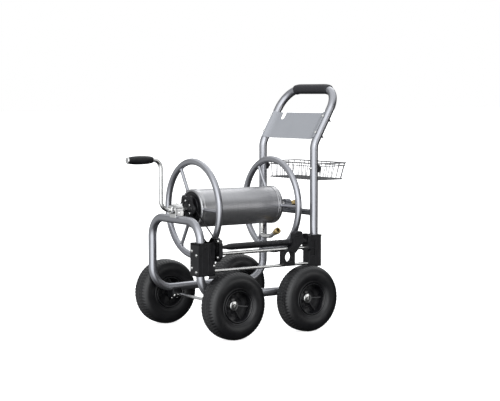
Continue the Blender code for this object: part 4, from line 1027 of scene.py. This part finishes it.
def make_screw():
    """The traverse screw, whose crossing grooves start half way, and the two rods under it."""
    start, end = CASE_FACE_X - 0.0115, RIGHT_BOSS_X + 0.0125
    taper, full, stop = MID_X - 0.159, MID_X - 0.131, RIGHT_BOSS_X - 0.0015
    pitch, depth, steps = 0.026, 0.0014, 40
    ridged = MID_X - 0.010
    stations = [start, taper - 0.012, taper - 0.010]
    stations += [taper + (full - taper) * k / 6 for k in range(7)]
    count = 300
    stations += [full + (stop - full) * k / count for k in range(1, count + 1)]
    stations += [stop + 0.0001, end]

    def radius_at(x, turn):
        if x <= taper - 0.012 or x > stop:
            return 0.006
        if x < full:
            return 0.0068 + (SCREW_R - 0.0068) * smooth_step(taper - 0.012, full, x)
        cut = 0.0
        for way in (-1, 1):
            phase = (x / pitch + way * turn / math.tau) % 1.0
            gap = min(phase, 1 - phase)
            cut = max(cut, 1 - smooth_step(0.04, 0.13, gap))
        ends = smooth_step(ridged, ridged + 0.012, x) * (1 - smooth_step(stop - 0.012, stop, x))
        return SCREW_R - depth * cut * ends

    bm = bmesh.new()
    rings = []
    for x in stations:
        ring = []
        for k in range(steps):
            turn = math.tau * k / steps
            r = radius_at(x, turn)
            ring.append(bm.verts.new((x, GUIDE_Y + r * math.cos(turn),
                                      SCREW_Z + r * math.sin(turn))))
        rings.append(ring)
    for first, second in zip(rings, rings[1:]):
        for k in range(steps):
            n = (k + 1) % steps
            bm.faces.new((first[k], first[n], second[n], second[k]))
    bm.faces.new(rings[0])
    bm.faces.new(rings[-1])
    show(to_object("traverse_screw_skin", bm, PLASTIC, sharp=60), "traverse_screw")
    show(tube("guide_bar_skin", [Vector((COVER_BACK_X - 0.0025, GUIDE_Y, GUIDE_BAR_Z)),
                                 Vector((end, GUIDE_Y, GUIDE_BAR_Z))], GUIDE_BAR_R, ZINC),
         "guide_bar")
    show(tube("lower_rod_skin", [Vector((CASE_FACE_X - 0.012, GUIDE_Y, LOWER_ROD_Z)),
                                 Vector((MID_X + 0.2345, GUIDE_Y, LOWER_ROD_Z))],
              LOWER_ROD_R, ZINC), "lower_rod")


def make_carriage():
    """The hose guide: one thick plate with a round eye, and ribs across its crown."""
    near_y, far_y = -0.200, -0.1715
    left, right, low, corner_r = 0.0967, 0.1513, 0.2505, 0.009
    loop = arc((left + corner_r, low + corner_r), corner_r, 180, 270, 8)
    loop += arc((right - corner_r, low + corner_r), corner_r, 270, 360, 8)
    loop += [(right, 0.2960), (0.1682, 0.3120), (0.1743, 0.3223), (0.1900, 0.3370),
             (0.1914, 0.3400), (0.1914, 0.3450), (0.1890, 0.3642), (0.1868, 0.3742),
             (0.1840, 0.3785), (0.1790, 0.3806), (0.1717, 0.3811), (0.1580, 0.3780),
             (0.1500, 0.3715), (0.1470, 0.3550), (0.1444, 0.3445), (0.1339, 0.3255),
             (0.1168, 0.3127), (left, 0.3050)]
    loop = [(MID_X + x, z) for x, z in loop]
    eye = arc((EYE_X, EYE_Z), EYE_R, 0, 352.5, 47)
    upright = Matrix.Rotation(math.pi / 2, 4, "X")
    bm = bmesh.new()
    plate(bm, [loop, eye], far_y - near_y - 0.002,
          Matrix.Translation((0, (near_y + far_y) / 2 + 0.001, 0)) @ upright)
    for x_low, x_high, z in ((0.1500, 0.1870, 0.356), (0.1520, 0.1850, 0.3650),
                             (0.159, 0.1800, 0.3735)):
        block(bm, (x_high - x_low, 0.004, 0.0028),
              Matrix.Translation((MID_X + (x_low + x_high) / 2, near_y + 0.002, z)))
    lathe(bm, [(EYE_R + 0.0035, 0.0016), (EYE_R + 0.0045, 0), (EYE_R + 0.0045, -0.003),
               (EYE_R, -0.003), (EYE_R, 0.0016)], 64,
          aim((EYE_X, near_y + 0.0020, EYE_Z), (0, -1, 0)))
    show(to_object("carriage_skin", bm, PLASTIC, bevel=0.0011), "carriage")


# ---------------------------------------------------------------- stage

def area_light(name, at, target, size, power, colour=(1, 1, 1)):
    """A soft box that faces a target."""
    light = bpy.data.lights.new(name, "AREA")
    light.shape = "RECTANGLE"
    light.size, light.size_y = size
    light.energy = power
    light.color = colour
    lamp = bpy.data.objects.new(name, light)
    lamp.location = at
    lamp.rotation_euler = (Vector(target) - Vector(at)).to_track_quat("-Z", "Y").to_euler()
    bpy.context.scene.collection.objects.link(lamp)


def make_world():
    """White behind the object; its light comes from the front left, the left and above."""
    world = bpy.data.worlds.new("studio")
    bpy.context.scene.world = world
    world.use_nodes = True
    nodes, link = world.node_tree.nodes, world.node_tree.links.new
    lit = nodes["Background"]
    lit.inputs["Color"].default_value = (0.97, 0.985, 1, 1)
    place = nodes.new("ShaderNodeTexCoord")
    level = None
    for direction, dark_end, bright_end, peak in (((-0.70, -0.66, 0.28), 0.35, 0.95, 2.30),
                                                  ((-0.82, 0.57, 0.0), 0.35, 0.95, 0.60),
                                                  ((0.2, 0.1, 1.0), 0.30, 0.80, 1.20)):
        dot = nodes.new("ShaderNodeVectorMath")
        dot.operation = "DOT_PRODUCT"
        dot.inputs[1].default_value = Vector(direction).normalized()
        link(place.outputs["Generated"], dot.inputs[0])
        lobe = nodes.new("ShaderNodeMapRange")
        lobe.interpolation_type = "SMOOTHSTEP"
        for socket, value in (("From Min", dark_end), ("From Max", bright_end),
                              ("To Min", 0.03), ("To Max", peak)):
            lobe.inputs[socket].default_value = value
        link(dot.outputs["Value"], lobe.inputs["Value"])
        if level:
            most = nodes.new("ShaderNodeMath")
            most.operation = "MAXIMUM"
            link(level, most.inputs[0])
            link(lobe.outputs["Result"], most.inputs[1])
            level = most.outputs["Value"]
        else:
            level = lobe.outputs["Result"]
    link(level, lit.inputs["Strength"])
    seen = nodes.new("ShaderNodeBackground")
    seen.inputs["Color"].default_value = (1, 1, 1, 1)
    path = nodes.new("ShaderNodeLightPath")
    mix = nodes.new("ShaderNodeMixShader")
    link(path.outputs["Is Camera Ray"], mix.inputs["Fac"])
    link(lit.outputs["Background"], mix.inputs[1])
    link(seen.outputs["Background"], mix.inputs[2])
    link(mix.outputs["Shader"], nodes["World Output"].inputs["Surface"])


def make_stage():
    """The pale floor, the world and three soft boxes."""
    bm = bmesh.new()
    bmesh.ops.create_grid(bm, x_segments=1, y_segments=1, size=60.0)
    floor_paint = surface("floor_paint", (0.78, 0.78, 0.78), (0.80, 0.80, 0.80), (0.8, 0.9),
                          mottle=1.0, Emission_Color=(1, 1, 1, 1), Emission_Strength=0.8)
    floor = to_object("floor", bm, floor_paint)
    floor.location.z = -0.0004
    floor.visible_glossy = False
    floor.visible_diffuse = False
    make_world()
    centre = (0.0, 0.0, 0.45)
    area_light("key_softbox", (-3.2, -6.2, 2.6), centre, (3.0, 2.0), 30)
    area_light("right_softbox", (2.65, -4.1, 0.80), centre, (1.8, 1.6), 15)
    area_light("top_softbox", (2.6, 2.0, 3.6), centre, (2.4, 1.6), 16)


def make_camera():
    """A long lens on the crank side, a little above the panel."""
    camera = bpy.data.cameras.new("camera")
    camera.lens = 101.1
    camera.sensor_width = 36.0
    seat = bpy.data.objects.new("camera", camera)
    seat.location = (-3.066 + MID_X, -4.470, 0.904)
    aim_at = Vector((0.0792 + MID_X, 0.0, 0.4907))
    seat.rotation_euler = (aim_at - seat.location).to_track_quat("-Z", "Y").to_euler()
    bpy.context.scene.collection.objects.link(seat)
    bpy.context.scene.camera = seat


make_frame()
make_panel()
make_basket()
make_wheels()
make_reel()
make_chain()
make_crank()
make_outlet()
make_bearings()
make_gear_case()
make_right_bracket()
make_screw()
make_carriage()
make_stage()
make_camera()
bpy.context.scene.view_settings.view_transform = "Standard"
